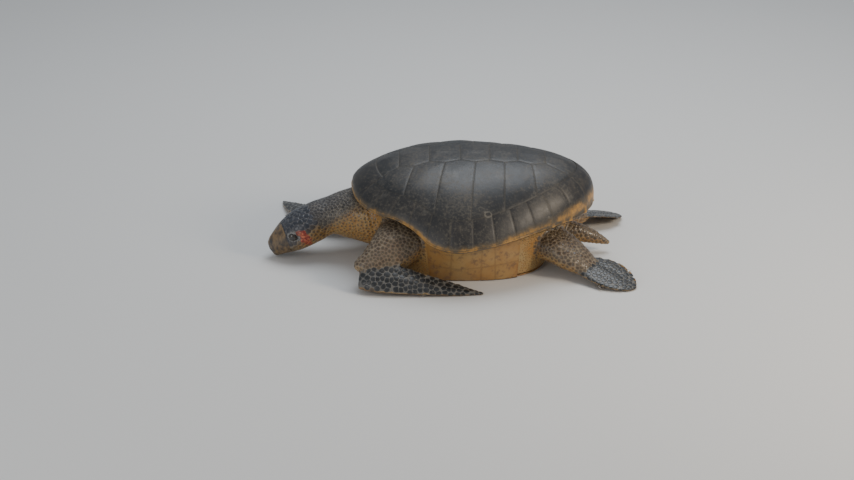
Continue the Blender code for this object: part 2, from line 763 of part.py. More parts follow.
def make_limbs(envelope):
    left = blade_rings(
        Vector((-0.300, -0.272, 0.0)), Vector((0.024, -0.296, 0.0)), fore_chord, 0.0110,
        (52.0, 18.0), (0.006, -0.0005), Vector((0, 1, 0)), -0.004,
    )
    make_limb(
        ("upper_arm_left", "fore_flipper_left", "fore_claw_left"), ARM_LEFT, left, envelope,
        make_claw(Vector((-0.118, -0.304, 0.008)), Vector((-0.140, -0.319, 0.004)), 0.0045),
    )
    right = blade_rings(
        Vector((-0.384, 0.126, 0.0)), Vector((-0.534, 0.370, 0.0)), fore_chord, 0.0110,
        (14.0, 6.0), (0.030, -0.0005), Vector((1, 0, 0)), -0.012,
    )
    make_limb(
        ("upper_arm_right", "fore_flipper_right", "fore_claw_right"), ARM_RIGHT, right, envelope,
        make_claw(Vector((-0.500, 0.228, 0.014)), Vector((-0.522, 0.234, 0.011)), 0.0045),
    )
    for side, word in ((-1.0, "left"), (1.0, "right")):
        paddle = blade_rings(
            Vector((0.262, 0.164 * side, 0.0)), Vector((0.418, 0.262 * side, 0.0)), hind_chord, 0.0100,
            (16.0, 4.0), (0.018, -0.0005), Vector((1, 0, 0)), 0.006,
        )
        make_limb(
            (f"thigh_{word}", f"hind_flipper_{word}", f"hind_claw_{word}"),
            leg_stations(side), paddle, envelope,
            make_claw(
                Vector((0.318, 0.258 * side, 0.008)), Vector((0.326, 0.276 * side, 0.005)), 0.0040
            ),
        )


def make_tail(envelope):
    stations = (
        ((0.215, 0.0, 0.060), (0.0, 0.034, 0.0), (0.0, 0.0, 0.032)),
        ((0.275, 0.0, 0.056), (0.0, 0.028, 0.0), (0.004, 0.0, 0.026)),
        ((0.318, 0.0, 0.044), (0.0, 0.019, 0.0), (0.006, 0.0, 0.018)),
        ((0.350, 0.0, 0.031), (0.0, 0.011, 0.0), (0.005, 0.0, 0.010)),
        ((0.368, 0.0, 0.024), (0.0, 0.004, 0.0), (0.002, 0.0, 0.004)),
    )
    cut(add_object("tail", loft(limb_rings(stations, 12)), "skin_warm"), envelope)


def centre_on_floor():
    """Moves the whole turtle so that the origin is the middle of its box, at the floor."""
    bpy.context.view_layer.update()
    graph = bpy.context.evaluated_depsgraph_get()
    low, high = Vector((9, 9, 9)), Vector((-9, -9, -9))
    for item in bpy.context.scene.objects:
        if item.type != "MESH" or item.hide_render:
            continue
        shown = item.evaluated_get(graph)
        for vertex in shown.data.vertices:
            place = item.matrix_world @ vertex.co
            low = Vector(map(min, low, place))
            high = Vector(map(max, high, place))
    middle = (low + high) / 2.0
    bpy.data.objects["turtle"].location = (-middle.x, -middle.y, -low.z)
    print("box", [round(v, 4) for v in high - low], "moved by", [round(v, 4) for v in middle], low.z)


def main():
    for item in list(bpy.data.objects):
        bpy.data.objects.remove(item, do_unlink=True)
    bpy.context.scene.collection.objects.link(bpy.data.objects.new("turtle", None))
    make_vertebrals()
    make_costals()
    make_nuchal()
    make_rims()
    make_trunk()
    make_belly()
    envelope = add_object("shell_envelope", shell_envelope(FIT), None)
    envelope.hide_render = True
    envelope.display_type = "WIRE"
    make_head(envelope)
    make_limbs(envelope)
    make_tail(envelope)
    centre_on_floor()


main()
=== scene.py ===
# %% [markdown]
# # An olive ridley sea turtle, life size
# The imported solids give every size and place. This lesson dresses them: one skin for the soft parts,
# horn plates for the shell, a beak, eyes, claws and scales. It starts by loading the solids.

# %% Load the frame
import math

import bmesh
import bpy
import numpy as np
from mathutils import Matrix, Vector


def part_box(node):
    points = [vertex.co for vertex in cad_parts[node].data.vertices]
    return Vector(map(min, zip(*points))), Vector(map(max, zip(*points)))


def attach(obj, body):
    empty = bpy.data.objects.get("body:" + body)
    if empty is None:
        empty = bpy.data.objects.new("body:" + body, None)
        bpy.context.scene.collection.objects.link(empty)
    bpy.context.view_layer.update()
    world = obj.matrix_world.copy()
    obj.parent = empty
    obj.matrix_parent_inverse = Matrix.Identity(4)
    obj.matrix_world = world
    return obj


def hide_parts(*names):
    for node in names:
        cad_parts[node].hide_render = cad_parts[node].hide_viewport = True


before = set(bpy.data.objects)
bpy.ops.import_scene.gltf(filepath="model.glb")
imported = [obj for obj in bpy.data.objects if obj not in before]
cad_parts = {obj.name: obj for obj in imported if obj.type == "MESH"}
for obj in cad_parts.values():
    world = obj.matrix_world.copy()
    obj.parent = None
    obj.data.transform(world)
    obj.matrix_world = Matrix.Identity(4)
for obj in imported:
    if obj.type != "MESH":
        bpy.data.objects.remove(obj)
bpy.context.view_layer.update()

# %% [markdown]
# ## Where the turtle stands
# The solids were drawn with the crown of the shell a little behind the origin and then moved so that the
# origin is the middle of the floor. The rearmost point of the rim and the plastron's middle give that
# move back, so the shapes below can be worked out in the drawing's own numbers.

# %% The move from the drawing to the frame
CROWN_X = -0.02
REAR_X = 0.322
belly_low, belly_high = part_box("plastron")
SHIFT = np.array([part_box("supracaudals")[1].x - REAR_X, (belly_low.y + belly_high.y) / 2.0, 0.0])
print("shift", SHIFT.round(4))

# %% [markdown]
# ## Small tools
# Three helpers are used all over: a smooth step, a curve through rows of numbers, and a mesh from arrays.
# The curve is a Catmull-Rom spline over all columns at once, which keeps a loft free of kinks.

# %% Helpers
def smooth(low, high, value):
    t = np.clip((value - low) / (high - low), 0.0, 1.0)
    return t * t * (3.0 - 2.0 * t)


def mix(a, b, t):
    return a + (b - a) * t


def power(value, exponent):
    return np.sign(value) * np.abs(value) ** exponent


def spline(rows, at, keys=None):
    """Rows of numbers as one smooth curve, read at many positions along keys."""
    rows = np.asarray(rows, float)
    keys = np.arange(len(rows), dtype=float) if keys is None else np.asarray(keys, float)
    slopes = np.gradient(rows, keys, axis=0)
    at = np.clip(np.asarray(at, float), keys[0], keys[-1])
    i = np.clip(np.searchsorted(keys, at, side="right") - 1, 0, len(keys) - 2)
    span = (keys[i + 1] - keys[i])[:, None]
    t = (at - keys[i])[:, None] / span
    h = t * t * (3.0 - 2.0 * t)
    bend = slopes[i] * span * t * (1.0 - t) ** 2 - slopes[i + 1] * span * t * t * (1.0 - t)
    return rows[i] * (1.0 - h) + rows[i + 1] * h + bend


def mesh_object(name, points, faces, move=True):
    """A shaded mesh object from arrays, moved from the drawing into the frame."""
    points = np.asarray(points, float) + (SHIFT if move else 0.0)
    mesh = bpy.data.meshes.new(name)
    mesh.from_pydata(points.tolist(), [], [list(map(int, f)) for f in faces])
    mesh.validate()
    mesh.shade_smooth()
    made = bpy.data.objects.new(name, mesh)
    bpy.context.scene.collection.objects.link(made)
    return made


def grid_faces(rows, columns, closed=False, start=0, flip=False):
    """Quads of a grid of points, row after row; closed joins the last column to the first."""
    faces = []
    last = columns if closed else columns - 1
    for r in range(rows - 1):
        for c in range(last):
            a = start + r * columns + c
            b = start + r * columns + (c + 1) % columns
            face = (a, b, b + columns, a + columns)
            faces.append(face[::-1] if flip else face)
    return faces


def set_attribute(piece, name, values):
    """A number for every vertex, for a material to read."""
    data = piece.data.attributes.new(name, "FLOAT", "POINT").data
    data.foreach_set("value", np.asarray(values, np.float32).ravel())


def vertex_array(piece):
    flat = np.empty(len(piece.data.vertices) * 3)
    piece.data.vertices.foreach_get("co", flat)
    return flat.reshape(-1, 3)


def write_vertices(piece, points):
    piece.data.vertices.foreach_set("co", np.asarray(points).ravel())
    piece.data.update()


def triangles(piece):
    return sum(len(face.vertices) - 2 for face in piece.data.polygons)


def turn_outward(piece):
    """Points every face of a closed mesh outward."""
    bm = bmesh.new()
    bm.from_mesh(piece.data)
    bmesh.ops.recalc_face_normals(bm, faces=bm.faces)
    bm.to_mesh(piece.data)
    bm.free()
    piece.data.update()


print("helpers ready")

# %% [markdown]
# ## Writing a material as sums
# A material is a small computer for colour. Wiring it box by box hides the idea, so a socket is wrapped in
# a class whose plus, minus and times make the Math nodes. Colours are blended by a Mix node instead, since
# a Math node would turn them grey.

# %% Materials as expressions
class Signal:
    """A number that varies over the surface."""

    def __init__(self, maker, socket):
        self.maker = maker
        self.socket = socket

    def _with(self, operation, other, swap=False):
        first, second = (other, self) if swap else (self, other)
        return self.maker.math(operation, first, second)

    def __add__(self, other):
        return self._with("ADD", other)

    def __radd__(self, other):
        return self._with("ADD", other, True)

    def __sub__(self, other):
        return self._with("SUBTRACT", other)

    def __rsub__(self, other):
        return self._with("SUBTRACT", other, True)

    def __mul__(self, other):
        return self._with("MULTIPLY", other)


class Finish:
    """One material, built by method calls."""

    def __init__(self, name, roughness=0.5, **constants):
        self.material = bpy.data.materials.new(name)
        self.material.use_nodes = True
        self.tree = self.material.node_tree
        self.shader = self.tree.nodes["Principled BSDF"]
        self.set("Roughness", roughness)
        for socket, value in constants.items():
            self.set(socket.replace("_", " "), value)

    def set(self, socket, value):
        self.shader.inputs[socket].default_value = value

    def feed(self, socket, value):
        self.tree.links.new(value.socket, self.shader.inputs[socket])

    def node(self, kind, settings=None, inputs=None, output=0):
        """Any node: its settings first, then a value or a link for each socket."""
        made = self.tree.nodes.new(kind)
        for key, value in (settings or {}).items():
            setattr(made, key, value)
        for key, value in (inputs or {}).items():
            if isinstance(value, Signal):
                self.tree.links.new(value.socket, made.inputs[key])
            else:
                made.inputs[key].default_value = value
        return Signal(self, made.outputs[output])

    def math(self, operation, first, second=0.0):
        return self.node("ShaderNodeMath", {"operation": operation}, {0: first, 1: second})

    def place(self):
        return self.node("ShaderNodeTexCoord", output="Object")

    def read(self, name, output="Fac"):
        return self.node("ShaderNodeAttribute", {"attribute_name": name}, output=output)

    def noise(self, where, scale, detail=3.0, roughness=0.55, output="Fac"):
        return self.node(
            "ShaderNodeTexNoise", None,
            {"Vector": where, "Scale": scale, "Detail": detail, "Roughness": roughness}, output=output,
        )

    def cells(self, where, scale, feature="F1", output="Distance", randomness=0.9):
        return self.node(
            "ShaderNodeTexVoronoi", {"feature": feature},
            {"Vector": where, "Scale": scale, "Randomness": randomness}, output=output,
        )

    def step(self, value, low, high):
        """0 below low, 1 above high and smooth between."""
        return self.node(
            "ShaderNodeMapRange", {"interpolation_type": "SMOOTHSTEP"},
            {"Value": value, "From Min": low, "From Max": high},
        )

    def blend(self, share, first, second):
        """A colour between two, by a share."""
        made = self.tree.nodes.new("ShaderNodeMix")
        made.data_type = "RGBA"
        for slot, value in ((0, share), (6, first), (7, second)):
            if isinstance(value, Signal):
                self.tree.links.new(value.socket, made.inputs[slot])
            elif slot == 0:
                made.inputs[slot].default_value = value
            else:
                made.inputs[slot].default_value = (*value, 1.0)
        return Signal(self, made.outputs[2])

    def shift(self, where, by, amount):
        """Moves coordinates by a colour texture, to break up straight borders."""
        moved = self.node("ShaderNodeVectorMath", {"operation": "SCALE"}, {0: by, "Scale": amount})
        return self.node("ShaderNodeVectorMath", {"operation": "ADD"}, {0: where, 1: moved})

    def bump(self, height, strength=0.5, distance=0.001, under=None):
        inputs = {"Height": height, "Strength": strength, "Distance": distance}
        if under:
            inputs["Normal"] = under
        return self.node("ShaderNodeBump", None, inputs)


print("material maker ready")

# %% [markdown]
# ## Camera, floor and light
# The view is from the animal's left, about 22 degrees down, through a long lens. The floor and the light
# are a plain studio's: one big soft lamp above, a warm one from the tail's side and a weak fill.

# %% Stage
VIEW_DOWN = math.radians(22.0)
VIEW_DISTANCE = 6.0
FRAME_WIDTH = 854.0
PIXELS_PER_METRE = 371.0
AIM = Vector((-0.124, 0.0, 0.032)) + Vector(SHIFT)
SENSOR = 36.0


def make_camera():
    lens = bpy.data.cameras.new("camera")
    lens.sensor_width = SENSOR
    lens.lens = SENSOR * VIEW_DISTANCE / (FRAME_WIDTH / PIXELS_PER_METRE)
    camera = bpy.data.objects.new("camera", lens)
    bpy.context.scene.collection.objects.link(camera)
    back = Vector((0.0, -math.cos(VIEW_DOWN), math.sin(VIEW_DOWN)))
    camera.location = AIM + back * VIEW_DISTANCE
    camera.rotation_euler = back.to_track_quat("Z", "Y").to_euler()
    bpy.context.scene.camera = camera


def make_lamp(name, place, size, watts, colour):
    lamp = bpy.data.lights.new(name, "AREA")
    lamp.shape = "DISK"
    lamp.size = size
    lamp.energy = watts
    lamp.color = colour
    made = bpy.data.objects.new(name, lamp)
    bpy.context.scene.collection.objects.link(made)
    made.location = place
    made.rotation_euler = Vector(place).to_track_quat("Z", "Y").to_euler()


def make_floor():
    size = 14.0
    corners = [(-size, -size, 0.0), (size, -size, 0.0), (size, size, 0.0), (-size, size, 0.0)]
    floor = mesh_object("floor", corners, [(0, 1, 2, 3)], move=False)
    floor.location.z = -0.0005
    finish = Finish("floor_paper", roughness=0.75)
    finish.set("Base Color", (0.72, 0.72, 0.71, 1.0))
    floor.data.materials.append(finish.material)


make_camera()
make_lamp("sky", (0.4, 1.2, 3.2), 2.6, 70.0, (0.90, 0.95, 1.0))
make_lamp("low_sun", (2.4, -1.2, 1.6), 0.9, 42.0, (1.0, 0.86, 0.68))
make_lamp("fill", (-2.2, -2.6, 1.4), 2.4, 26.0, (1.0, 0.97, 0.93))
world = bpy.data.worlds.new("studio")
world.use_nodes = True
world.node_tree.nodes["Background"].inputs["Color"].default_value = (0.80, 0.85, 0.92, 1.0)
world.node_tree.nodes["Background"].inputs["Strength"].default_value = 0.35
bpy.context.scene.world = world
make_floor()
print("camera at", [round(c, 3) for c in bpy.context.scene.camera.location])

# %% [markdown]
# ## The shell's surface
# A turtle's shell is a dome on a heart-shaped rim. Both are functions here: the rim's radius and height by
# the angle about the crown, and the dome's profile from the rim to the crown. The plates are patches of
# this one surface, so they meet without steps.

# %% Rim and dome
CROWN_HEIGHT = 0.288
RIM_REACH = 0.86
NUCHAL_REACH = 0.78
RIM_THICKNESS = 0.014
RIM_EDGE = 0.005
NUCHAL_ANGLE = 159.0
TAIL_ANGLE = 15.0
PLATE_THICKNESS = 0.003
RIM_POINTS = (
    (0.322, 0.000, 0.150), (0.300, 0.078, 0.149), (0.262, 0.132, 0.148), (0.196, 0.190, 0.145),
    (0.105, 0.248, 0.135), (0.020, 0.285, 0.125), (-0.050, 0.297, 0.120), (-0.113, 0.279, 0.131),
    (-0.160, 0.243, 0.160), (-0.205, 0.212, 0.176), (-0.262, 0.166, 0.177), (-0.305, 0.100, 0.184),
    (-0.326, 0.000, 0.200),
)
DOME_TAIL = (2.3, 0.30)
DOME_SIDE = (2.5, 0.80)
DOME_NECK = (2.2, 0.56)


def rim_table():
    """Rim radius and height for every half degree from the tail to the neck."""
    half = []
    for x, y, z in RIM_POINTS:
        half.append((math.degrees(math.atan2(y, x - CROWN_X)), math.hypot(x - CROWN_X, y), z))
    rows = [(-a, r, z) for a, r, z in half[2:0:-1]] + half
    rows += [(360.0 - a, r, z) for a, r, z in half[-2:-4:-1]]
    rows = np.array(rows)
    fine = np.arange(0.0, 180.5, 0.5)
    return fine, spline(rows[:, 1:], fine, rows[:, 0])


RIM_FINE, RIM_VALUES = rim_table()


def folded(angle):
    """An angle from the tail, 0 to 180 on either side."""
    return np.abs((np.asarray(angle, float) + 180.0) % 360.0 - 180.0)


def rim(angle):
    fold = folded(angle)
    return np.interp(fold, RIM_FINE, RIM_VALUES[:, 0]), np.interp(fold, RIM_FINE, RIM_VALUES[:, 1])


def dome(angle, reach):
    turn = np.cos(np.radians(angle))
    share = turn**2
    bulge = mix(DOME_SIDE[0], np.where(turn > 0.0, DOME_TAIL[0], DOME_NECK[0]), share)
    steepness = mix(DOME_SIDE[1], np.where(turn > 0.0, DOME_TAIL[1], DOME_NECK[1]), share)
    return np.maximum(1.0 - np.clip(reach, 0.0, 1.0) ** bulge, 0.0) ** steepness


def plan(angle, reach):
    radius = rim(angle)[0] * reach
    turn = np.radians(angle)
    return np.stack([CROWN_X + radius * np.cos(turn), radius * np.sin(turn)], -1)


def polar(points):
    angle = np.degrees(np.arctan2(points[..., 1], points[..., 0] - CROWN_X))
    return angle, np.hypot(points[..., 0] - CROWN_X, points[..., 1]) / rim(angle)[0]


def top_height(points):
    angle, reach = polar(points)
    edge = rim(angle)[1]
    return edge + (CROWN_HEIGHT - edge) * dome(angle, reach)


def on_shell(points, raise_by=0.0):
    """Surface points over plan points, moved along the surface's normal."""
    step = 0.002
    east = top_height(points + [step, 0.0]) - top_height(points - [step, 0.0])
    north = top_height(points + [0.0, step]) - top_height(points - [0.0, step])
    normal = np.stack([-east, -north, np.full_like(east, 2.0 * step)], -1)
    normal /= np.linalg.norm(normal, axis=-1, keepdims=True)
    base = np.concatenate([points, top_height(points)[..., None]], -1)
    return base + normal * np.asarray(raise_by)[..., None]


print("crown", CROWN_HEIGHT, "rim radius at the side", round(float(rim(90.0)[0]), 3))

# %% [markdown]
# ## Horn plates
# Each scute is a slab of horn that grew outward from a nucleus: slightly domed, with faint growth lines
# near its border and a shallow furrow where it meets the next. A grid between its two long borders, raised
# by a relief that depends on the distance to the border, makes all of them with one function.

# %% Scutes of the dome
BORDER_SEAMS = (
    (-0.198, 0.062), (-0.158, 0.074), (-0.118, 0.060), (-0.076, 0.072), (-0.036, 0.059), (0.004, 0.070),
    (0.042, 0.057), (0.080, 0.067), (0.116, 0.053), (0.152, 0.062), (0.190, 0.048),
)
COSTAL_ANGLES = (159.0, 133.0, 110.0, 88.0, 66.0, 42.0, 15.0)
FINE_STEP = 0.0045
SEAM_GAP = 0.00012


def wave_noise(points, scale, seed=0, octaves=3):
    """Smooth seeded noise in -1..1 from a few sine waves in turned directions."""
    source = np.random.default_rng(seed)
    total = np.zeros(points.shape[:-1])
    weight = 0.0
    for octave in range(octaves):
        for _ in range(5):
            way = source.normal(size=points.shape[-1])
            way *= scale * 2.0**octave / np.linalg.norm(way)
            total += np.sin(points @ way * 2.0 * np.pi + source.uniform(0, 6.28)) * 0.5**octave
        weight += 5.0 * 0.5**octave
    return total / weight * 1.8


def fill_line(points, count):
    """A line of plan points with its corners kept and even spacing between them."""
    points = np.asarray(points, float)
    steps = np.linspace(0.0, len(points) - 1.0, count)
    low = np.clip(steps.astype(int), 0, len(points) - 2)
    t = (steps - low)[:, None]
    return points[low] * (1.0 - t) + points[low + 1] * t


def slab_faces(rows, columns):
    """Faces of a closed slab: one grid, a second grid after it and the wall between them."""
    count = rows * columns
    faces = grid_faces(rows, columns) + grid_faces(rows, columns, start=count, flip=True)
    loop = list(range(columns)) + [r * columns + columns - 1 for r in range(1, rows)]
    loop += [(rows - 1) * columns + c for c in range(columns - 2, -1, -1)]
    loop += [r * columns for r in range(rows - 2, 0, -1)]
    for i, a in enumerate(loop):
        b = loop[(i + 1) % len(loop)]
        faces.append((b, a, a + count, b + count))
    return faces


def plate_object(name, grid, relief):
    """A closed slab over a grid of plan points, with relief(points, border distance) on top."""
    grid = np.array(grid)
    rows, columns = grid.shape[:2]
    width = np.linalg.norm(np.diff(grid, axis=1), axis=2)
    length = np.linalg.norm(np.diff(grid, axis=0), axis=2)
    across = np.concatenate([np.zeros((rows, 1)), np.cumsum(width, 1)], 1)
    along = np.concatenate([np.zeros((1, columns)), np.cumsum(length, 0)], 0)
    border = np.minimum(
        np.minimum(across, across[:, -1:] - across), np.minimum(along, along[-1:] - along)
    )
    top = on_shell(grid, relief(grid, border)).reshape(-1, 3)
    bottom = on_shell(grid, np.full(border.shape, -PLATE_THICKNESS)).reshape(-1, 3)
    made = mesh_object(name, np.concatenate([top, bottom]), slab_faces(rows, columns))
    turn_outward(made)
    set_attribute(made, "border", np.concatenate([border.ravel(), np.zeros(rows * columns)]))
    made.data.set_sharp_from_angle(angle=math.radians(55.0))
    return made


def scute_relief(keel=0.0, seed=0):
    def relief(points, border):
        dome_up = 0.0006 * smooth(0.0, 0.035, border)
        furrow = -0.0008 * (1.0 - smooth(0.0, 0.0050, border))
        wobble = border + 0.0012 * wave_noise(points, 12.0, seed)
        rings = 0.00016 * np.sin(wobble / 0.0042 * 2.0 * np.pi) * (1.0 - smooth(0.018, 0.045, border))
        swell = 0.0007 * wave_noise(points, 7.0, seed + 50, 2) * smooth(0.0, 0.02, border)
        ridge = keel * np.exp(-((points[..., 1] / 0.016) ** 2)) * smooth(0.004, 0.02, border)
        return dome_up + furrow + rings + swell + ridge
    return relief


def border_ends():
    front = plan(NUCHAL_ANGLE, NUCHAL_REACH)
    rear = plan(TAIL_ANGLE, RIM_REACH)
    return np.array([front, *BORDER_SEAMS, rear])


def inset(grid):
    """Draws a plate's outline in by half the seam."""
    grid = np.array(grid)
    ends = ((grid[0], grid[1]), (grid[-1], grid[-2]))
    sides = ((grid[:, 0], grid[:, 1]), (grid[:, -1], grid[:, -2]))
    for a, b in ends + sides:
        way = b - a
        a += way / np.maximum(np.linalg.norm(way, axis=-1, keepdims=True), 1e-6) * SEAM_GAP
    return grid


plates = {}


def make_costals():
    ends = border_ends()
    for side, word in ((-1.0, "left"), (1.0, "right")):
        for i in range(6):
            inner = ends[2 * i : 2 * i + 3]
            angles = np.linspace(COSTAL_ANGLES[i], COSTAL_ANGLES[i + 1], 41)
            outer = plan(angles, RIM_REACH)
            columns = int(np.linalg.norm(outer[-1] - outer[0]) / FINE_STEP) // 2 * 2 + 1
            inner = fill_line(inner, columns)
            outer = fill_line(outer, columns)
            rows = int(np.linalg.norm(outer - inner, axis=1).mean() / FINE_STEP) + 2
            share = np.linspace(0.0, 1.0, rows)[:, None, None]
            grid = inner[None] * (1.0 - share) + outer[None] * share
            grid[..., 1] *= side
            node = f"costal_{word}_{i + 1}"
            plates[node] = plate_object(node + "_horn", inset(grid), scute_relief(0.0, i * 3 + (side > 0)))


def make_vertebrals():
    ends = border_ends()
    spans = [0, 1, 3, 5, 7, 9, 11, 12]
    for i, (first, last) in enumerate(zip(spans, spans[1:])):
        edge = ends[first : last + 1]
        rows = max(int((edge[-1][0] - edge[0][0]) / FINE_STEP) // 2 * 2 + 1, 9)
        edge = fill_line(edge, rows)
        columns = int(edge[:, 1].max() * 2.0 / FINE_STEP) // 2 * 2 + 1
        across = np.linspace(-1.0, 1.0, columns)
        grid = np.stack([np.broadcast_to(edge[:, :1], (rows, columns)), edge[:, 1:] * across], -1).copy()
        if i == 0:
            bend_onto(grid, 0, plan(180.0 - (180.0 - NUCHAL_ANGLE) * across, NUCHAL_REACH))
        if i == 6:
            bend_onto(grid, -1, plan(TAIL_ANGLE * across, RIM_REACH))
        node = f"vertebral_{i + 1}"
        plates[node] = plate_object(node + "_horn", inset(grid), scute_relief(0.0016, 40 + i))


def bend_onto(grid, end, line):
    """Moves one end of a grid onto a curved border and spreads the change over the rows."""
    rows = len(grid)
    change = line - grid[end]
    share = np.linspace(1.0, 0.0, rows) if end == 0 else np.linspace(0.0, 1.0, rows)
    grid += change[None] * share[:, None, None]


make_costals()
make_vertebrals()
print("plates", len(plates), "triangles", sum(len(p.data.polygons) * 2 for p in plates.values()))

# %% [markdown]
# ## The rim
# The marginal scutes wrap the edge of the shell: thick inside, thin and a little saw-toothed outside. A
# closed section is drawn at many angles and lofted; a furrow is pressed in at each seam, and the edge is
# drawn out to a low point at the end of each plate behind the middle.

# %% Marginals, tail plates and nuchal
MARGINALS_PER_SIDE = 12


def seam_distance(angle, seams):
    """How far, in metres along the rim, an angle is from the nearest seam."""
    gap = np.min(np.abs(angle[:, None] - np.asarray(seams)[None]), axis=1)
    return np.radians(gap) * rim(angle)[0]


def rim_loops(angles, seams):
    """Closed sections of the rim: out over the top, round the edge and back underneath."""
    near = seam_distance(angles, seams)
    furrow = -0.0006 * (1.0 - smooth(0.0, 0.0055, near))
    swell = 0.0005 * smooth(0.0, 0.02, near)
    rear = smooth(1.35, 0.35, np.radians(angles))
    tooth = rear * (0.0030 * (1.0 - smooth(0.0, 0.012, near)) - 0.0016)
    radius, edge = rim(angles)
    steps = np.array([0.0, 0.12, 0.26, 0.42, 0.58, 0.72, 0.83, 0.91, 0.96, 0.985])
    reaches = RIM_REACH + (1.0 - RIM_REACH) * steps + 0.0005
    loops = []
    for reach in reaches:
        flat = plan(angles, reach)
        loops.append(on_shell(flat, (furrow + swell) * smooth(1.02, 0.97, reach)))
    outer = []
    for turn in (-62.0, -20.0, 25.0, 70.0):
        lean = math.radians(turn)
        flat = plan(angles, 1.0 + (tooth + 0.0025 * (math.cos(lean) - 1.0)) / radius)
        lift = edge - RIM_EDGE / 2.0 - RIM_EDGE / 2.0 * math.sin(lean) + furrow * 0.5
        outer.append(np.concatenate([flat, lift[:, None]], -1))
    under = []
    for reach, drop in ((0.975, 0.62), (0.94, 0.86), (0.90, 1.0), (RIM_REACH + 0.0005, 1.0)):
        flat = plan(angles, reach)
        under.append(np.concatenate([flat, (edge - RIM_THICKNESS * drop - furrow)[:, None]], -1))
    return np.stack(loops + outer + under, 1), near


def rim_object(name, angles, seams, side=1.0):
    section, near = rim_loops(angles, seams)
    section[..., 1] *= side
    rows, columns = section.shape[:2]
    faces = grid_faces(rows, columns, closed=True)
    faces += [tuple(range(columns)), tuple(range((rows - 1) * columns, rows * columns))[::-1]]
    made = mesh_object(name, section.reshape(-1, 3), faces)
    turn_outward(made)
    set_attribute(made, "border", np.repeat(near, columns))
    points = vertex_array(made) - SHIFT
    set_attribute(made, "edge", (1.0 - polar(points)[1]) * rim(polar(points)[0])[0])
    made.data.set_sharp_from_angle(angle=math.radians(60.0))
    return made


def make_rim():
    seams = np.linspace(NUCHAL_ANGLE, TAIL_ANGLE, MARGINALS_PER_SIDE + 1)
    angles = np.linspace(NUCHAL_ANGLE - 0.03, TAIL_ANGLE + 0.03, 300)
    for side, word in ((-1.0, "left"), (1.0, "right")):
        plates[f"marginals_{word}"] = rim_object(f"marginals_{word}_horn", angles, seams, side)
    angles = np.linspace(-TAIL_ANGLE + 0.03, TAIL_ANGLE - 0.03, 61)
    plates["supracaudals"] = rim_object("supracaudals_horn", angles, (-TAIL_ANGLE, 0.0, TAIL_ANGLE))


def make_nuchal():
    """The nuchal is a plate inside and rim outside, so its slab thickens into the rim's wedge."""
    half = 180.0 - NUCHAL_ANGLE - 0.03
    reaches = np.concatenate([np.linspace(NUCHAL_REACH, RIM_REACH, 8), np.linspace(0.865, 0.985, 12)])
    angles = 180.0 + np.linspace(-half, half, 57)
    grid = np.stack([plan(angles, reach) for reach in reaches])
    radius, edge = rim(angles)
    border = (half - np.abs(angles - 180.0)) * np.radians(1.0) * radius
    inner = (reaches - NUCHAL_REACH)[:, None] * radius[None]
    distance = np.minimum(border[None], inner)
    relief = 0.0006 * smooth(0.0, 0.03, distance) - 0.0008 * (1.0 - smooth(0.0, 0.0055, distance))
    fade = smooth(1.0, 0.93, reaches)[:, None]
    top = on_shell(grid, relief * fade)
    outer = []
    for turn in (-50.0, 0.0, 50.0):
        lean = math.radians(turn)
        flat = plan(angles, 1.0 + 0.0025 * (math.cos(lean) - 1.0) / radius)
        outer.append(np.concatenate([flat, (edge - RIM_EDGE / 2.0 * (1.0 + math.sin(lean)))[:, None]], -1))
    under = []
    for reach, drop in ((0.975, 0.62), (0.94, 0.86), (0.90, 1.0), (0.862, 1.0)):
        under.append(np.concatenate([plan(angles, reach), (edge - RIM_THICKNESS * drop)[:, None]], -1))
    lower = []
    for reach in (0.858, 0.82, NUCHAL_REACH):
        lower.append(on_shell(plan(angles, reach), np.full_like(radius, -PLATE_THICKNESS)))
    section = np.concatenate([top, np.stack(outer + under + lower)])
    rows, columns = section.shape[:2]
    section = section.transpose(1, 0, 2)
    faces = grid_faces(columns, rows, closed=True)
    faces += [tuple(range(rows)), tuple(range((columns - 1) * rows, columns * rows))[::-1]]
    made = mesh_object("nuchal_horn", section.reshape(-1, 3), faces)
    turn_outward(made)
    full = np.zeros((columns, rows))
    full[:, : len(reaches)] = distance.T
    set_attribute(made, "border", full.ravel())
    points = vertex_array(made) - SHIFT
    set_attribute(made, "edge", (1.0 - polar(points)[1]) * rim(polar(points)[0])[0])
    plates["nuchal"] = made


make_rim()
make_nuchal()
print("shell pieces", len(plates))

# %% [markdown]
# ## The underside
# The plastron is a flat plate of horn in six pairs of scutes, and a bridge on each side carries its pattern
# up to the rim. Both are rings or rows over the same underside function as the solids. The seams are
# curves in the plan, so one distance function furrows both.

# %% Plastron and bridges
PLASTRON_LENGTH = (0.220, 0.245)
PLASTRON_HALF_WIDTH = 0.206
UNDER_CURVE = 1.25
BELLY_THICKNESS = 0.004
BRIDGE_ANGLES = (54.0, 116.0)
BELLY_SEAMS = (-0.215, -0.150, -0.085, -0.005, 0.075, 0.140)


def flat_reach(angle):
    turn = np.radians(angle)
    along = np.where(np.cos(turn) > 0.0, PLASTRON_LENGTH[0], PLASTRON_LENGTH[1])
    spread = (np.abs(np.cos(turn)) / along) ** 2.6 + (np.abs(np.sin(turn)) / PLASTRON_HALF_WIDTH) ** 2.6
    return spread ** (-1.0 / 2.6) / rim(angle)[0]


def past_bridge(angle):
    """Degrees from the nearer end of the bridge, negative where the bridge covers the body."""
    middle = sum(BRIDGE_ANGLES) / 2.0
    return np.abs(folded(angle) - middle) - (BRIDGE_ANGLES[1] - middle)


def under_height(angle, reach):
    flat = flat_reach(angle)
    climb = np.clip((reach - flat) / (RIM_REACH - flat), 0.0, 1.0)
    return (rim(angle)[1] - RIM_THICKNESS) * climb**UNDER_CURVE


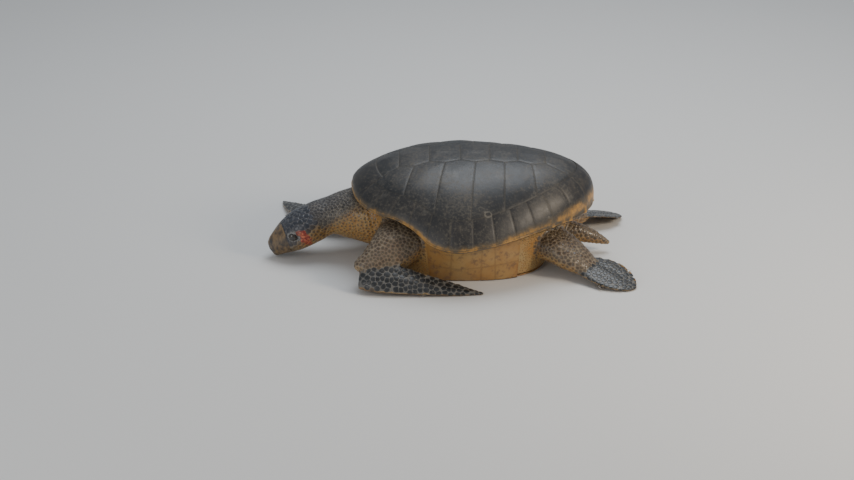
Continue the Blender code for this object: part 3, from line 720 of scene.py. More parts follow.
def belly_seam(points):
    """Distance in plan to the nearest seam of the underside."""
    x, y = points[..., 0], points[..., 1]
    bow = 0.10 * np.abs(y)
    near = np.abs(y + 0.003 * np.sin(x * 40.0))
    for seam in BELLY_SEAMS:
        near = np.minimum(near, np.abs(x - seam + bow * (1.0 if seam > 0 else -1.0)))
    side = np.abs(np.abs(y) - 0.150 - 0.02 * np.cos(x * 12.0)) + 0.2 * (np.abs(x) > 0.15)
    return np.minimum(near, side)


BELLY_SIDES = 240
BRIDGE_GRID = (26, 110)


def underside_object(node, low, high, faces, near):
    made = mesh_object(node + "_horn", np.concatenate([low.reshape(-1, 3), high.reshape(-1, 3)]), faces)
    turn_outward(made)
    set_attribute(made, "border", np.concatenate([near.ravel(), near.ravel()]))
    plates[node] = made


def make_plastron():
    """Two stacks of rings, the floor side furrowed along the seams, joined round the edge and the middle."""
    angles = np.linspace(0.0, 360.0, BELLY_SIDES, endpoint=False)
    shares = np.concatenate([[0.985], np.linspace(0.97, 0.06, 34)])
    flat = np.stack([plan(angles, flat_reach(angles) * share) for share in shares])
    near = belly_seam(flat)
    edge = np.zeros(len(shares))
    edge[0] = 0.0016
    rise = 0.0008 * (1.0 - smooth(0.0, 0.003, near)) + edge[:, None]
    low = np.concatenate([flat, rise[..., None]], -1)
    high = np.concatenate([flat, np.full(near.shape + (1,), BELLY_THICKNESS)], -1)
    count = near.size
    n = BELLY_SIDES
    faces = grid_faces(len(shares), n, closed=True)
    faces += grid_faces(len(shares), n, closed=True, start=count, flip=True)
    faces += [(i, (i + 1) % n, count + (i + 1) % n, count + i) for i in range(n)]
    inner = (len(shares) - 1) * n
    faces += [tuple(range(inner, inner + n)), tuple(range(count + inner, count + inner + n))[::-1]]
    underside_object("plastron", low, high, faces, near)


def make_bridges():
    rows, columns = BRIDGE_GRID
    angles = np.linspace(BRIDGE_ANGLES[0] + 0.2, BRIDGE_ANGLES[1] - 0.2, columns)
    for side, word in ((-1.0, "left"), (1.0, "right")):
        reaches = [mix(flat_reach(angles), RIM_REACH, share) for share in np.linspace(0.985, 0.02, rows)]
        flat = np.stack([plan(angles, reach) * [1.0, side] for reach in reaches])
        height = np.stack([under_height(angles, reach) for reach in reaches])
        # one seam runs along the bridge, a little below its middle
        along_seam = np.abs(np.linspace(0.95, 0.0, rows) - 0.45)[:, None] * 0.1
        near = np.minimum(belly_seam(flat), along_seam)
        swell = 0.0007 * smooth(0.0, 0.004, near)
        low = np.concatenate([flat, (height - swell + 0.0007)[..., None]], -1)
        high = np.concatenate([flat, (height + BELLY_THICKNESS)[..., None]], -1)
        underside_object(f"bridge_{word}", low, high, slab_faces(rows, columns), near)


shell_count = len(plates)
make_plastron()
make_bridges()
print("underside pieces", len(plates) - shell_count)

# %% [markdown]
# ## The soft body as lofts
# The soft parts follow centre lines: the neck and head bow to the ground, the arms come out of the shell
# and turn down, and the flippers are thin blades. Each is a loft through smoothed rows of centre, width
# and thickness. They overlap on purpose, because the next step melts them into one skin.

# %% Lofts of head, neck and limbs
NAPE = np.array((-0.415, -0.012, 0.105))
HEAD_PITCH = 33.0
HEAD_YAW = 12.0
HEAD_STATIONS = np.array((
    (0.000, 0.057, 0.041, 0.058), (0.022, 0.060, 0.043, 0.056), (0.045, 0.063, 0.048, 0.051),
    (0.068, 0.061, 0.048, 0.047), (0.090, 0.053, 0.045, 0.042), (0.110, 0.042, 0.040, 0.036),
    (0.128, 0.030, 0.034, 0.030), (0.142, 0.019, 0.027, 0.026), (0.151, 0.010, 0.017, 0.023),
    (0.155, 0.004, 0.006, 0.018),
))
NECK_STATIONS = (
    ((-0.235, 0.000, 0.118), 0.0, 0.0, 0.104, 0.058, 0.090),
    ((-0.290, 0.000, 0.118), 10.0, 0.0, 0.096, 0.060, 0.088),
    ((-0.328, -0.001, 0.116), 19.0, 2.0, 0.082, 0.056, 0.082),
    ((-0.372, -0.005, 0.110), 27.0, 7.0, 0.066, 0.047, 0.070),
)
EYE_RADIUS = 0.0165
EYE_PLACE = (0.081, 0.0400, 0.012)
MOUTH_CORNER = (0.078, -0.014)
MOUTH_SLOPE = -8.0
BEAK_START = 0.108
FORE_CHORD = 0.096
HIND_CHORD = 0.112
ARM_LEFT = (
    ((-0.165, -0.095, 0.112), (0.072, 0.0, 0.0), (0.0, 0.0, 0.046)),
    ((-0.182, -0.150, 0.108), (0.074, 0.0, 0.0), (0.0, -0.006, 0.050)),
    ((-0.198, -0.188, 0.096), (0.070, -0.010, 0.0), (-0.004, -0.016, 0.048)),
    ((-0.222, -0.214, 0.076), (0.060, -0.014, -0.004), (-0.006, -0.022, 0.040)),
    ((-0.252, -0.234, 0.060), (0.046, -0.018, -0.006), (-0.008, -0.021, 0.031)),
    ((-0.278, -0.249, 0.052), (0.033, -0.014, -0.006), (-0.008, -0.016, 0.023)),
    ((-0.293, -0.258, 0.047), (0.018, -0.008, -0.004), (-0.006, -0.010, 0.014)),
)
ARM_RIGHT = (
    ((-0.165, 0.095, 0.112), (0.072, 0.0, 0.0), (0.0, 0.0, 0.046)),
    ((-0.190, 0.145, 0.108), (0.060, 0.034, 0.0), (0.0, 0.004, 0.048)),
    ((-0.236, 0.166, 0.098), (0.022, 0.060, 0.0), (-0.004, 0.0, 0.044)),
    ((-0.288, 0.166, 0.084), (-0.006, 0.057, 0.0), (-0.006, 0.0, 0.037)),
    ((-0.334, 0.156, 0.070), (-0.010, 0.053, -0.004), (-0.006, 0.0, 0.031)),
    ((-0.374, 0.150, 0.060), (-0.002, 0.046, -0.006), (-0.006, 0.0, 0.025)),
    ((-0.400, 0.152, 0.052), (0.006, 0.034, -0.006), (-0.006, 0.0, 0.018)),
    ((-0.412, 0.156, 0.048), (0.006, 0.018, -0.004), (-0.004, 0.0, 0.010)),
)
TAIL = (
    ((0.215, 0.0, 0.060), (0.0, 0.034, 0.0), (0.0, 0.0, 0.032)),
    ((0.275, 0.0, 0.056), (0.0, 0.028, 0.0), (0.004, 0.0, 0.026)),
    ((0.318, 0.0, 0.044), (0.0, 0.019, 0.0), (0.006, 0.0, 0.018)),
    ((0.350, 0.0, 0.031), (0.0, 0.011, 0.0), (0.005, 0.0, 0.010)),
    ((0.368, 0.0, 0.024), (0.0, 0.004, 0.0), (0.002, 0.0, 0.004)),
)
PARTS = ("trunk", "neck", "head", "arm", "fore", "thigh", "hind", "tail")
BLADE_PARTS = (PARTS.index("fore"), PARTS.index("hind"))
LIMB_PARTS = (PARTS.index("arm"), PARTS.index("thigh"), PARTS.index("tail"))


def facing(pitch, yaw):
    p, w = np.radians(pitch), np.radians(yaw)
    forward = np.stack([-np.cos(w) * np.cos(p), -np.sin(w) * np.cos(p), -np.sin(p)], -1)
    left = np.stack([np.sin(w), -np.cos(w), np.zeros_like(w)], -1)
    return forward, left, np.cross(forward, left)


FORWARD, LEFT, UP = facing(np.array(HEAD_PITCH), np.array(HEAD_YAW))


def head_point(along, side, above):
    return NAPE + FORWARD * along + LEFT * side + UP * above


def head_local(points):
    """Along, side and above in the head's own frame."""
    offset = points - NAPE
    return offset @ FORWARD, offset @ LEFT, offset @ UP


def circle(count):
    turn = np.linspace(0.0, 2.0 * np.pi, count, endpoint=False)
    return np.cos(turn), np.sin(turn)


lofts = []


def add_loft(part, rings):
    """Keeps rings of points (rows, around, 3) as a closed loft with its part and its own coordinates."""
    rings = np.asarray(rings)
    rows, count = rings.shape[:2]
    faces = grid_faces(rows, count, closed=True)
    faces += [tuple(range(count))[::-1], tuple(range((rows - 1) * count, rows * count))]
    middle = rings.mean(1)
    way = np.gradient(middle, axis=0)
    way /= np.linalg.norm(way, axis=1, keepdims=True)
    length = np.concatenate([[0.0], np.cumsum(np.linalg.norm(np.diff(middle, axis=0), axis=1))])
    around = np.broadcast_to(np.linspace(0.0, 1.0, count, endpoint=False), (rows, count))
    lofts.append({
        "part": PARTS.index(part), "points": rings.reshape(-1, 3), "faces": faces,
        "way": np.repeat(way, count, 0), "around": around.ravel(), "along": np.repeat(length, count),
    })


def oval_rings(centre, left, up, half_width, above, below, sides=72, square=0.9):
    """Rings of a body: width, height above and depth below about a centre line."""
    across, rise = circle(sides)
    tall = np.where(rise > 0.0, above[:, None], below[:, None])
    wide = power(across, square)[None] * half_width[:, None]
    high = power(rise, square) * tall
    return centre[:, None] + left[:, None] * wide[..., None] + up[:, None] * high[..., None]


def limb_rings(stations, rows=60, sides=56):
    table = np.array([sum(map(list, row), []) for row in stations])
    fine = spline(table, np.linspace(0.0, len(table) - 1.0, rows))
    across, rise = circle(sides)
    wide = power(across, 0.9)[None, :, None] * fine[:, None, 3:6]
    return fine[:, None, :3] + wide + power(rise, 0.9)[None, :, None] * fine[:, None, 6:9]


def fore_chord(share):
    swell = 1.0 + 0.10 * np.sin(np.pi * np.minimum(share * 2.2, 1.0))
    round_root = np.minimum(0.40 + 0.60 * np.sqrt(share / 0.10), 1.0)
    return FORE_CHORD * (0.86 * swell * round_root * (1.0 - share**1.7) ** 0.75 + 0.05)


def hind_chord(share):
    swell = 0.62 + 0.46 * np.sin(np.pi * np.minimum(share * 0.75, 1.0)) ** 1.4
    return HIND_CHORD * (swell * (1.0 - share**5.0) ** 0.5 + 0.04)


def blade_rings(root, tip, chord_at, half_thickness, tilt, lift, trailing, bow, sides=84):
    """A flipper lying on its leading edge, as in the solids, with finger ridges along it."""
    root, tip, trailing = (np.array(v) for v in (root, tip, trailing))
    axis = (tip - root) / np.linalg.norm(tip - root)
    across = np.array([-axis[1], axis[0], 0.0])
    across *= np.sign(across @ trailing)
    share = 0.5 - 0.5 * np.cos(np.pi * np.linspace(0.0, 1.0, 110))
    chord = chord_at(share)[:, None]
    thick = mix(half_thickness, 0.0022, share)[:, None]
    slope = np.radians(mix(tilt[0], tilt[1], share))[:, None]
    lift_up = np.array([0.0, 0.0, 1.0])
    towards = across * np.cos(slope) + lift_up * np.sin(slope)
    normal = lift_up * np.cos(slope) - across * np.sin(slope)
    centre = root + (tip - root) * share[:, None] + across * bow * np.sin(np.pi * share)[:, None]
    low_edge = mix(lift[0], lift[1], share)[:, None]
    centre[:, 2:] = low_edge + 0.5 * chord * np.sin(slope) + thick * np.cos(slope)
    back, over = circle(sides)
    body = thick * (1.0 - 0.55 * back) / 1.1
    fingers = 0.0007 * np.cos(back * 9.0 + share[:, None] * 2.0) * (1.0 - back**2)
    body = body + fingers * smooth(0.15, 0.4, share)[:, None] * smooth(1.0, 0.8, share)[:, None]
    scallop = 1.0 + 0.02 * np.sin(share[:, None] * 34.0) * smooth(0.3, 1.0, back)
    rings = centre[:, None] + towards[:, None] * (back * scallop * 0.5 * chord)[..., None]
    rings = rings + normal[:, None] * (over * body)[..., None]
    rings[..., 2] = np.maximum(rings[..., 2], 0.0)
    return rings


def core_rings():
    """The trunk under the plates, from the crown out to the rim's inner wall and back below."""
    angles = np.linspace(0.0, 360.0, 150, endpoint=False)
    rings = []
    for reach in np.linspace(0.02, RIM_REACH - 0.006, 26):
        flat = plan(angles, np.full_like(angles, reach))
        rings.append(on_shell(flat, np.full_like(angles, -0.0075)))
    for share in np.concatenate([np.linspace(0.975, 0.02, 14), [-0.02, -0.5, -0.97]]):
        flat = flat_reach(angles)
        reach = mix(flat, RIM_REACH, share) if share > 0 else flat * (1.0 + share)
        covered = (reach <= flat * 1.02) | (past_bridge(angles) <= 0.0)
        height = under_height(angles, reach) + 0.0025 + np.where(covered, BELLY_THICKNESS, 0.0)
        rings.append(np.concatenate([plan(angles, reach), height[:, None]], -1))
    return rings


def neck_and_head():
    neck = np.array([[*c, p, w, hw, a, b] for c, p, w, hw, a, b in NECK_STATIONS])
    head = np.array([
        [*(NAPE + FORWARD * s), HEAD_PITCH, HEAD_YAW, hw, a, b] for s, hw, a, b in HEAD_STATIONS
    ])
    table = np.concatenate([neck, head])
    keys = np.concatenate([[0.0], np.cumsum(np.linalg.norm(np.diff(table[:, :3], axis=0), axis=1))])
    at = np.concatenate([np.linspace(0.0, keys[-1] - 0.02, 120), np.linspace(keys[-1] - 0.019, keys[-1], 24)])
    fine = spline(table, at, keys)
    forward, left, up = facing(fine[:, 3], fine[:, 4])
    rings = oval_rings(fine[:, :3], left, up, fine[:, 5], fine[:, 6], fine[:, 7], 96)
    return rings, at - keys[4]


head_rings, head_along = neck_and_head()
split = int(np.searchsorted(head_along, 0.0))
add_loft("neck", head_rings[: split + 3])
add_loft("head", head_rings[split:])
add_loft("arm", limb_rings(ARM_LEFT))
add_loft("arm", limb_rings(ARM_RIGHT))
add_loft("fore", blade_rings(
    (-0.300, -0.272, 0.0), (0.024, -0.296, 0.0), fore_chord, 0.0110, (52.0, 18.0), (0.006, -0.0005),
    (0, 1, 0), -0.004
))
add_loft("fore", blade_rings(
    (-0.384, 0.126, 0.0), (-0.534, 0.370, 0.0), fore_chord, 0.0110, (14.0, 6.0), (0.030, -0.0005),
    (1, 0, 0), -0.012
))
for side in (-1.0, 1.0):
    leg = (
        ((0.160, 0.085 * side, 0.074), (-0.010, 0.064 * side, 0.0), (0.0, 0.0, 0.044)),
        ((0.215, 0.120 * side, 0.068), (-0.026, 0.060 * side, 0.0), (0.0, 0.0, 0.042)),
        ((0.252, 0.152 * side, 0.054), (-0.032, 0.048 * side, 0.0), (0.0, 0.0, 0.036)),
        ((0.284, 0.178 * side, 0.040), (-0.028, 0.036 * side, 0.0), (0.0, 0.0, 0.026)),
        ((0.306, 0.194 * side, 0.030), (-0.018, 0.022 * side, 0.0), (0.0, 0.0, 0.014)),
    )
    add_loft("thigh", limb_rings(leg))
    add_loft("hind", blade_rings(
        (0.262, 0.164 * side, 0.0), (0.418, 0.262 * side, 0.0), hind_chord, 0.0100, (16.0, 4.0),
        (0.018, -0.0005), (1, 0, 0), 0.006
    ))
add_loft("tail", limb_rings(TAIL, 40, 40))
add_loft("trunk", core_rings())
print("lofts", len(lofts), "points", sum(len(l["points"]) for l in lofts))

# %% [markdown]
# ## One skin
# A real turtle has no seam where its arm meets its body. A voxel remesh melts the lofts into one closed
# surface, a few rounds of smoothing fillet the joins, and each flipper point away from a join is put back on
# its loft so that thin edges keep their shape. Boolean unions would keep every crease.

# %% Melting the lofts
VOXEL = 0.0030
SKIN_DEPTH = 0.0005


def joined_lofts():
    points = []
    faces = []
    start = 0
    for loft in lofts:
        points.append(loft["points"])
        faces += [tuple(i + start for i in face) for face in loft["faces"]]
        start += len(loft["points"])
    made = mesh_object("skin", np.concatenate(points), faces, move=False)
    return made


def apply_modifiers(piece):
    """Turns what the modifiers give into the piece's own mesh."""
    bpy.context.view_layer.update()
    graph = bpy.context.evaluated_depsgraph_get()
    mesh = bpy.data.meshes.new_from_object(piece.evaluated_get(graph))
    piece.modifiers.clear()
    old = piece.data
    piece.data = mesh
    bpy.data.meshes.remove(old)


def edge_array(piece):
    flat = np.empty(len(piece.data.edges) * 2, np.int32)
    piece.data.edges.foreach_get("vertices", flat)
    return flat.reshape(-1, 2)


def relax(points, edges, weight, rounds):
    """Moves points towards their neighbours' average, as much as weight says."""
    degree = np.bincount(edges.ravel(), minlength=len(points))[:, None]
    points = points.copy()
    for _ in range(rounds):
        total = np.zeros_like(points)
        for axis in range(3):
            total[:, axis] = np.bincount(edges[:, 0], points[edges[:, 1], axis], len(points))
            total[:, axis] += np.bincount(edges[:, 1], points[edges[:, 0], axis], len(points))
        points += (total / np.maximum(degree, 1) - points) * weight
    return points


skin = joined_lofts()
turn_outward(skin)
remesh = skin.modifiers.new("melt", "REMESH")
remesh.mode = "VOXEL"
remesh.voxel_size = VOXEL
remesh.adaptivity = 0.0
apply_modifiers(skin)
print("melted skin", len(skin.data.polygons), "faces")

# %% [markdown]
# ## Where each point of the skin belongs
# Scales, folds and markings all depend on the part of the body. The nearest point of the lofts tells the
# part, the direction along it and the place around it. A tree search finds it quickly.

# %% Part, direction and joins
from mathutils.bvhtree import BVHTree
from mathutils.kdtree import KDTree


def tree_of(points):
    tree = KDTree(len(points))
    for i, point in enumerate(points):
        tree.insert(point, i)
    tree.balance()
    return tree


def nearest(tree, points):
    found = [tree.find(p)[1:] for p in points.tolist()]
    return np.array([f[0] for f in found]), np.array([f[1] for f in found])


def loft_table(key):
    return np.concatenate([loft[key] for loft in lofts])


all_points = loft_table("points")
all_parts = np.concatenate([np.full(len(loft["points"]), i) for i, loft in enumerate(lofts)])
loft_tree = tree_of(all_points)


def body_map(points):
    """For each point: its loft, its part, the direction along it, its place round and along it."""
    index, _ = nearest(loft_tree, points)
    return {
        "loft": all_parts[index], "part": np.array([loft["part"] for loft in lofts])[all_parts[index]],
        "way": loft_table("way")[index], "around": loft_table("around")[index],
        "along": loft_table("along")[index],
    }


def thin_hidden(piece, target):
    """Brings a mesh down to a number of triangles, mostly by dropping faces that the shell hides."""
    points = vertex_array(piece)
    angle, reach = polar(points[:, :2])
    inside = (reach < 0.85) & (points[:, 2] > under_height(angle, reach) + 0.012)
    bridge = (past_bridge(angle) < -2.0) & (reach < 0.85)
    covered = (reach < flat_reach(angle) * 0.98) & (points[:, 2] < 0.012)
    group = piece.vertex_groups.new(name="hidden")
    hidden = inside | covered | bridge
    group.add([int(i) for i in np.flatnonzero(~hidden)], 0.10, "REPLACE")
    group.add([int(i) for i in np.flatnonzero(hidden)], 1.0, "REPLACE")
    shrink = piece.modifiers.new("thin", "DECIMATE")
    shrink.ratio = target / (2.0 * len(piece.data.polygons))
    shrink.vertex_group = "hidden"
    apply_modifiers(piece)
    piece.vertex_groups.clear()


thin_hidden(skin, 128000)
print("skin after thinning", len(skin.data.polygons), "faces")

# %% [markdown]
# ## Filleting the joins and fining the head
# Where two lofts cross, the melted surface has a crease. Points near another loft are relaxed the most.
# The head is looked at most closely, so its faces are split once more before the lids and folds are made.

# %% Joins and head faces
def join_share(points, own):
    """1 near a crossing of two lofts and 0 away from it."""
    near = np.full(len(points), 1.0)
    for i in range(len(lofts)):
        other = np.flatnonzero(own != i)
        _, distance = nearest(tree_of(lofts[i]["points"][::2]), points[other])
        near[other] = np.minimum(near[other], distance)
    return 1.0 - smooth(0.006, 0.016, near)


def split_faces(piece, chosen):
    """Splits the faces whose corners are all chosen."""
    bm = bmesh.new()
    bm.from_mesh(piece.data)
    bm.verts.ensure_lookup_table()
    edges = [e for e in bm.edges if chosen[e.verts[0].index] and chosen[e.verts[1].index]]
    bmesh.ops.subdivide_edges(bm, edges=edges, cuts=1, use_grid_fill=True)
    bm.to_mesh(piece.data)
    bm.free()


points = vertex_array(skin)
place = body_map(points)
join = join_share(points, place["loft"])
points = relax(points, edge_array(skin), (0.15 + 0.5 * join)[:, None], 7)
surface = BVHTree.FromPolygons(loft_table("points").tolist(), [
    tuple(i + start for i in face)
    for loft, start in zip(lofts, np.cumsum([0] + [len(l["points"]) for l in lofts[:-1]]))
    for face in loft["faces"]
])
held = np.isin(place["part"], BLADE_PARTS) & (join < 0.05)
for i in np.flatnonzero(held):
    found = surface.find_nearest(Vector(points[i]), 0.004)
    if found[0]:
        points[i] = found[0]
write_vertices(skin, points)
along, side_way, above = head_local(points)
split_faces(skin, (along > 0.005) & (place["part"] == PARTS.index("head")))
print("skin", triangles(skin), "triangles")

# %% [markdown]
# ## Lids, mouth and folds
# A sea turtle's eye sits in a ring of loose skin: the lid's edge lies on the ball, then a groove, then a
# second fold. Each is a change of distance from the ball's centre that depends only on how far round the
# opening a point is. The mouth is a groove, and the neck is wrinkled across its length.

# %% Shaping the skin
EYE_OPENING = (0.0092, 0.0118)
EYE_LEAN = math.radians(-24.0)


def eye_centre(side):
    return head_point(EYE_PLACE[0], EYE_PLACE[1] * side, EYE_PLACE[2])


def opening_distance(points, side):
    """How many openings away from the eye's middle a point is, seen along the eye's axis."""
    offset = points - eye_centre(side)
    u, v = offset @ FORWARD, offset @ UP
    c, s = math.cos(EYE_LEAN), math.sin(EYE_LEAN)
    return np.hypot((u * c + v * s) / EYE_OPENING[0], (v * c - u * s) / EYE_OPENING[1])


def shape_eyes(points):
    for side in (1.0, -1.0):
        offset = points - eye_centre(side)
        distance = np.linalg.norm(offset, axis=1, keepdims=True)
        outward = offset @ LEFT * side
        near = (distance[:, 0] < 0.045) & (outward > -0.006)
        q = opening_distance(points, side)
        lid = EYE_RADIUS + 0.0016 + 0.0010 * np.sin(np.clip(q - 1.0, 0, 1.6) / 0.5 * np.pi * 2.0 + 0.9)
        lid = np.where(q < 1.0, EYE_RADIUS - 0.0040, lid)
        target = mix(lid, distance[:, 0], smooth(1.5, 2.25, q))
        points = np.where(near[:, None], eye_centre(side) + offset / distance * target[:, None], points)
    return points


def mouth_height(along):
    return MOUTH_CORNER[1] + math.tan(math.radians(MOUTH_SLOPE)) * (along - MOUTH_CORNER[0])


def vertex_normals(piece):
    flat = np.empty(len(piece.data.vertices) * 3)
    piece.data.vertices.foreach_get("normal", flat)
    return flat.reshape(-1, 3)


points = shape_eyes(vertex_array(skin))
write_vertices(skin, points)
place = body_map(points)
part = place["part"]
normals = vertex_normals(skin)
along, side_way, above = head_local(points)
is_head = part == PARTS.index("head")
is_neck = part == PARTS.index("neck")
relief = np.full(len(points), -SKIN_DEPTH)
open_mouth = np.exp(-(((above - mouth_height(along)) / 0.0016) ** 2)) * smooth(0.060, 0.074, along)
relief -= 0.0024 * open_mouth * is_head
lip = np.exp(-(((above - mouth_height(along) - 0.006) / 0.004) ** 2)) * smooth(0.05, 0.07, along)
relief += 0.0010 * lip * is_head
under_beak = smooth(BEAK_START - 0.001, BEAK_START + 0.003, along) * is_head
relief -= 0.0022 * under_beak
drift = wave_noise(points, 9.0, 3)
fold = np.sin(place["along"] / 0.0125 * 2.0 * np.pi + 2.6 * drift) * (0.6 + 0.4 * wave_noise(points, 22.0, 5))
low_side = smooth(0.030, -0.030, above)
relief += 0.0013 * fold * is_neck * low_side
nape = smooth(0.034, 0.010, along) * is_head
relief += 0.0008 * fold * nape * low_side
is_limb = np.isin(part, LIMB_PARTS)
relief += 0.0010 * fold * is_limb
relief += 0.0007 * wave_noise(points, 30.0, 8, 2) * (is_limb | is_neck)
points = points + normals * relief[:, None]
points[:, 2] = np.maximum(points[:, 2], 0.0004)


def keep_inside_shell(points):
    """Presses what would come through a bridge or the plastron back inside."""
    angle, reach = polar(points[:, :2])
    bridge = (past_bridge(angle) < 0.5) & (reach < RIM_REACH) & (reach > 0.3)
    flat = reach < flat_reach(angle)
    floor = under_height(angle, np.minimum(reach, 0.86)) + BELLY_THICKNESS + 0.0012
    points[:, 2] = np.where(bridge | flat, np.maximum(points[:, 2], floor), points[:, 2])
    return points


points = keep_inside_shell(points)
write_vertices(skin, points)
turn_outward(skin)
print("skin box", (points.min(0) + SHIFT).round(4), (points.max(0) + SHIFT).round(4))

# %% [markdown]
# ## Markings
# Skin and scales are painted by the same rules, so they agree: warm ochre below, slate on the crown of the
# head, near black on the flippers' upper side, and a raw patch behind the left eye. Each rule is a number
# from 0 to 1 worked out from the place on the body.

# %% Marking rules
def markings(points, place, normals):
    part = place["part"]
    along, side_way, above = head_local(points)
    drift = wave_noise(points, 16.0, 21)
    fine = wave_noise(points, 55.0, 22)
    head = (part == PARTS.index("head")).astype(float)
    neck = (part == PARTS.index("neck")).astype(float)
    blade = np.isin(part, BLADE_PARTS).astype(float)
    limb = np.isin(part, LIMB_PARTS).astype(float)
    trunk = (part == PARTS.index("trunk")).astype(float)
    low = smooth(0.004, -0.040, above + 0.010 * drift) * (1.0 - 0.35 * head * smooth(0.05, 0.10, along))
    cheek = smooth(0.014, -0.012, above + 0.006 * drift) * smooth(0.075, 0.055, along) * 0.75
    warm = head * np.maximum(low, cheek) + neck * low
    down = smooth(0.15, -0.45, normals[:, 2] + 0.15 * drift)
    warm += limb * (0.18 + 0.62 * down) + trunk * 0.95 + blade * 0.65 * down
    lower_edge = -0.006 - 0.014 * smooth(0.05, 0.10, along)
    slate = head * smooth(lower_edge, lower_edge + 0.024, above + 0.005 * drift)
    slate += neck * smooth(0.0, 0.035, above) * 0.55
    black = blade * smooth(-0.30, 0.15, normals[:, 2] + 0.12 * drift)
    raw = np.hypot((along - 0.058) / 0.0125, (above + 0.004) / 0.027) + 0.22 * drift + 0.16 * fine
    raw = smooth(1.12, 0.72, raw) * (side_way > 0.02) * head
    lid = np.minimum(opening_distance(points, 1.0), opening_distance(points, -1.0))
    lid = (1.0 - smooth(1.25, 1.9, lid)) * head * (np.abs(side_way) > 0.02)
    return {
        "warm": np.clip(warm, 0, 1), "slate": np.clip(slate, 0, 1), "black": np.clip(black, 0, 1),
        "raw": np.clip(raw, 0, 1), "lid": np.clip(lid, 0, 1),
    }


normals = vertex_normals(skin)
place = body_map(points)
marks = markings(points, place, normals)
for name, values in marks.items():
    set_attribute(skin, name, values)
print("markings", {name: round(float(values.mean()), 3) for name, values in marks.items()})

# %% [markdown]
# ## Scales that touch
# A turtle's scales are flat plates that fill the skin with only a thin seam between. Scattered discs would
# leave holes, so each scale here is the cell of points nearest to its root: for each direction round the
# root, the halfway line to the closest neighbour gives the reach. Eight directions make a plate of a few
# dozen faces.

# %% Scale roots
SPACING = {
    "head": 0.0125, "neck": 0.0072, "arm": 0.0078, "fore": 0.0115, "thigh": 0.0085, "hind": 0.0105,
    "tail": 0.0085,
}
DIRECTIONS = 9
SEAM_WIDTH = 0.0007
HEAD_SCALE_HEIGHT = 0.00080
BODY_SCALE_HEIGHT = 0.00060


def scale_roots(points, place, normals, spacing, chosen):
    """Points of the skin kept at least a spacing apart, by a seeded dart throw in a grid of cells."""
    order = np.random.default_rng(5).permutation(np.flatnonzero(chosen))
    cells = {}
    roots = []
    for i in order:
        gap = spacing[i]
        key = tuple((points[i] // 0.0125).astype(int))
        crowded = False
        for dx in (-1, 0, 1):
            for dy in (-1, 0, 1):
                for dz in (-1, 0, 1):
                    for j in cells.get((key[0] + dx, key[1] + dy, key[2] + dz), ()):
                        offset = points[i] - points[j]
                        if offset @ offset < gap * gap and normals[i] @ normals[j] > 0.0:
                            crowded = True
                            break
                    if crowded:
                        break
                if crowded:
                    break
            if crowded:
                break
        if not crowded:
            cells.setdefault(key, []).append(i)
            roots.append(i)
    return np.array(roots)


def seen_skin(points):
    """Skin that the shell doesn't hide."""
    angle, reach = polar(points[:, :2])
    return (reach > 0.86) | (points[:, 2] < under_height(angle, reach) + 0.030)


part_spacing = np.array([SPACING.get(name, 0.02) for name in PARTS])
spacing = part_spacing[place["part"]]
along, side_way, above = head_local(points)
is_head = place["part"] == PARTS.index("head")
spacing = np.where(is_head & (above < 0.0), 0.0095, spacing)
eye_gap = np.minimum(opening_distance(points, 1.0), opening_distance(points, -1.0))
at_eye = is_head & (eye_gap < 1.75) & (np.abs(side_way) > 0.02)
at_beak = is_head & (along > BEAK_START - 0.004)
scaled = (place["part"] != PARTS.index("trunk")) & seen_skin(points)
scaled &= ~at_eye & ~at_beak & (points[:, 2] > 0.0012)
roots = scale_roots(points, place, normals, spacing, scaled)
print("scales", len(roots))

# %% [markdown]
# ## A plate on each root
# Geometry Nodes can set one shape on many points, but it has no node for the cell of a surface, so the plates
# are worked out here. Three rings and a middle make one: a foot just under the skin, a bevelled border and a
# low crown, each laid on the nearest skin so that the plate follows the bend below it.

# %% Scale plates
skin_surface = BVHTree.FromPolygons(points.tolist(), [tuple(p.vertices) for p in skin.data.polygons])


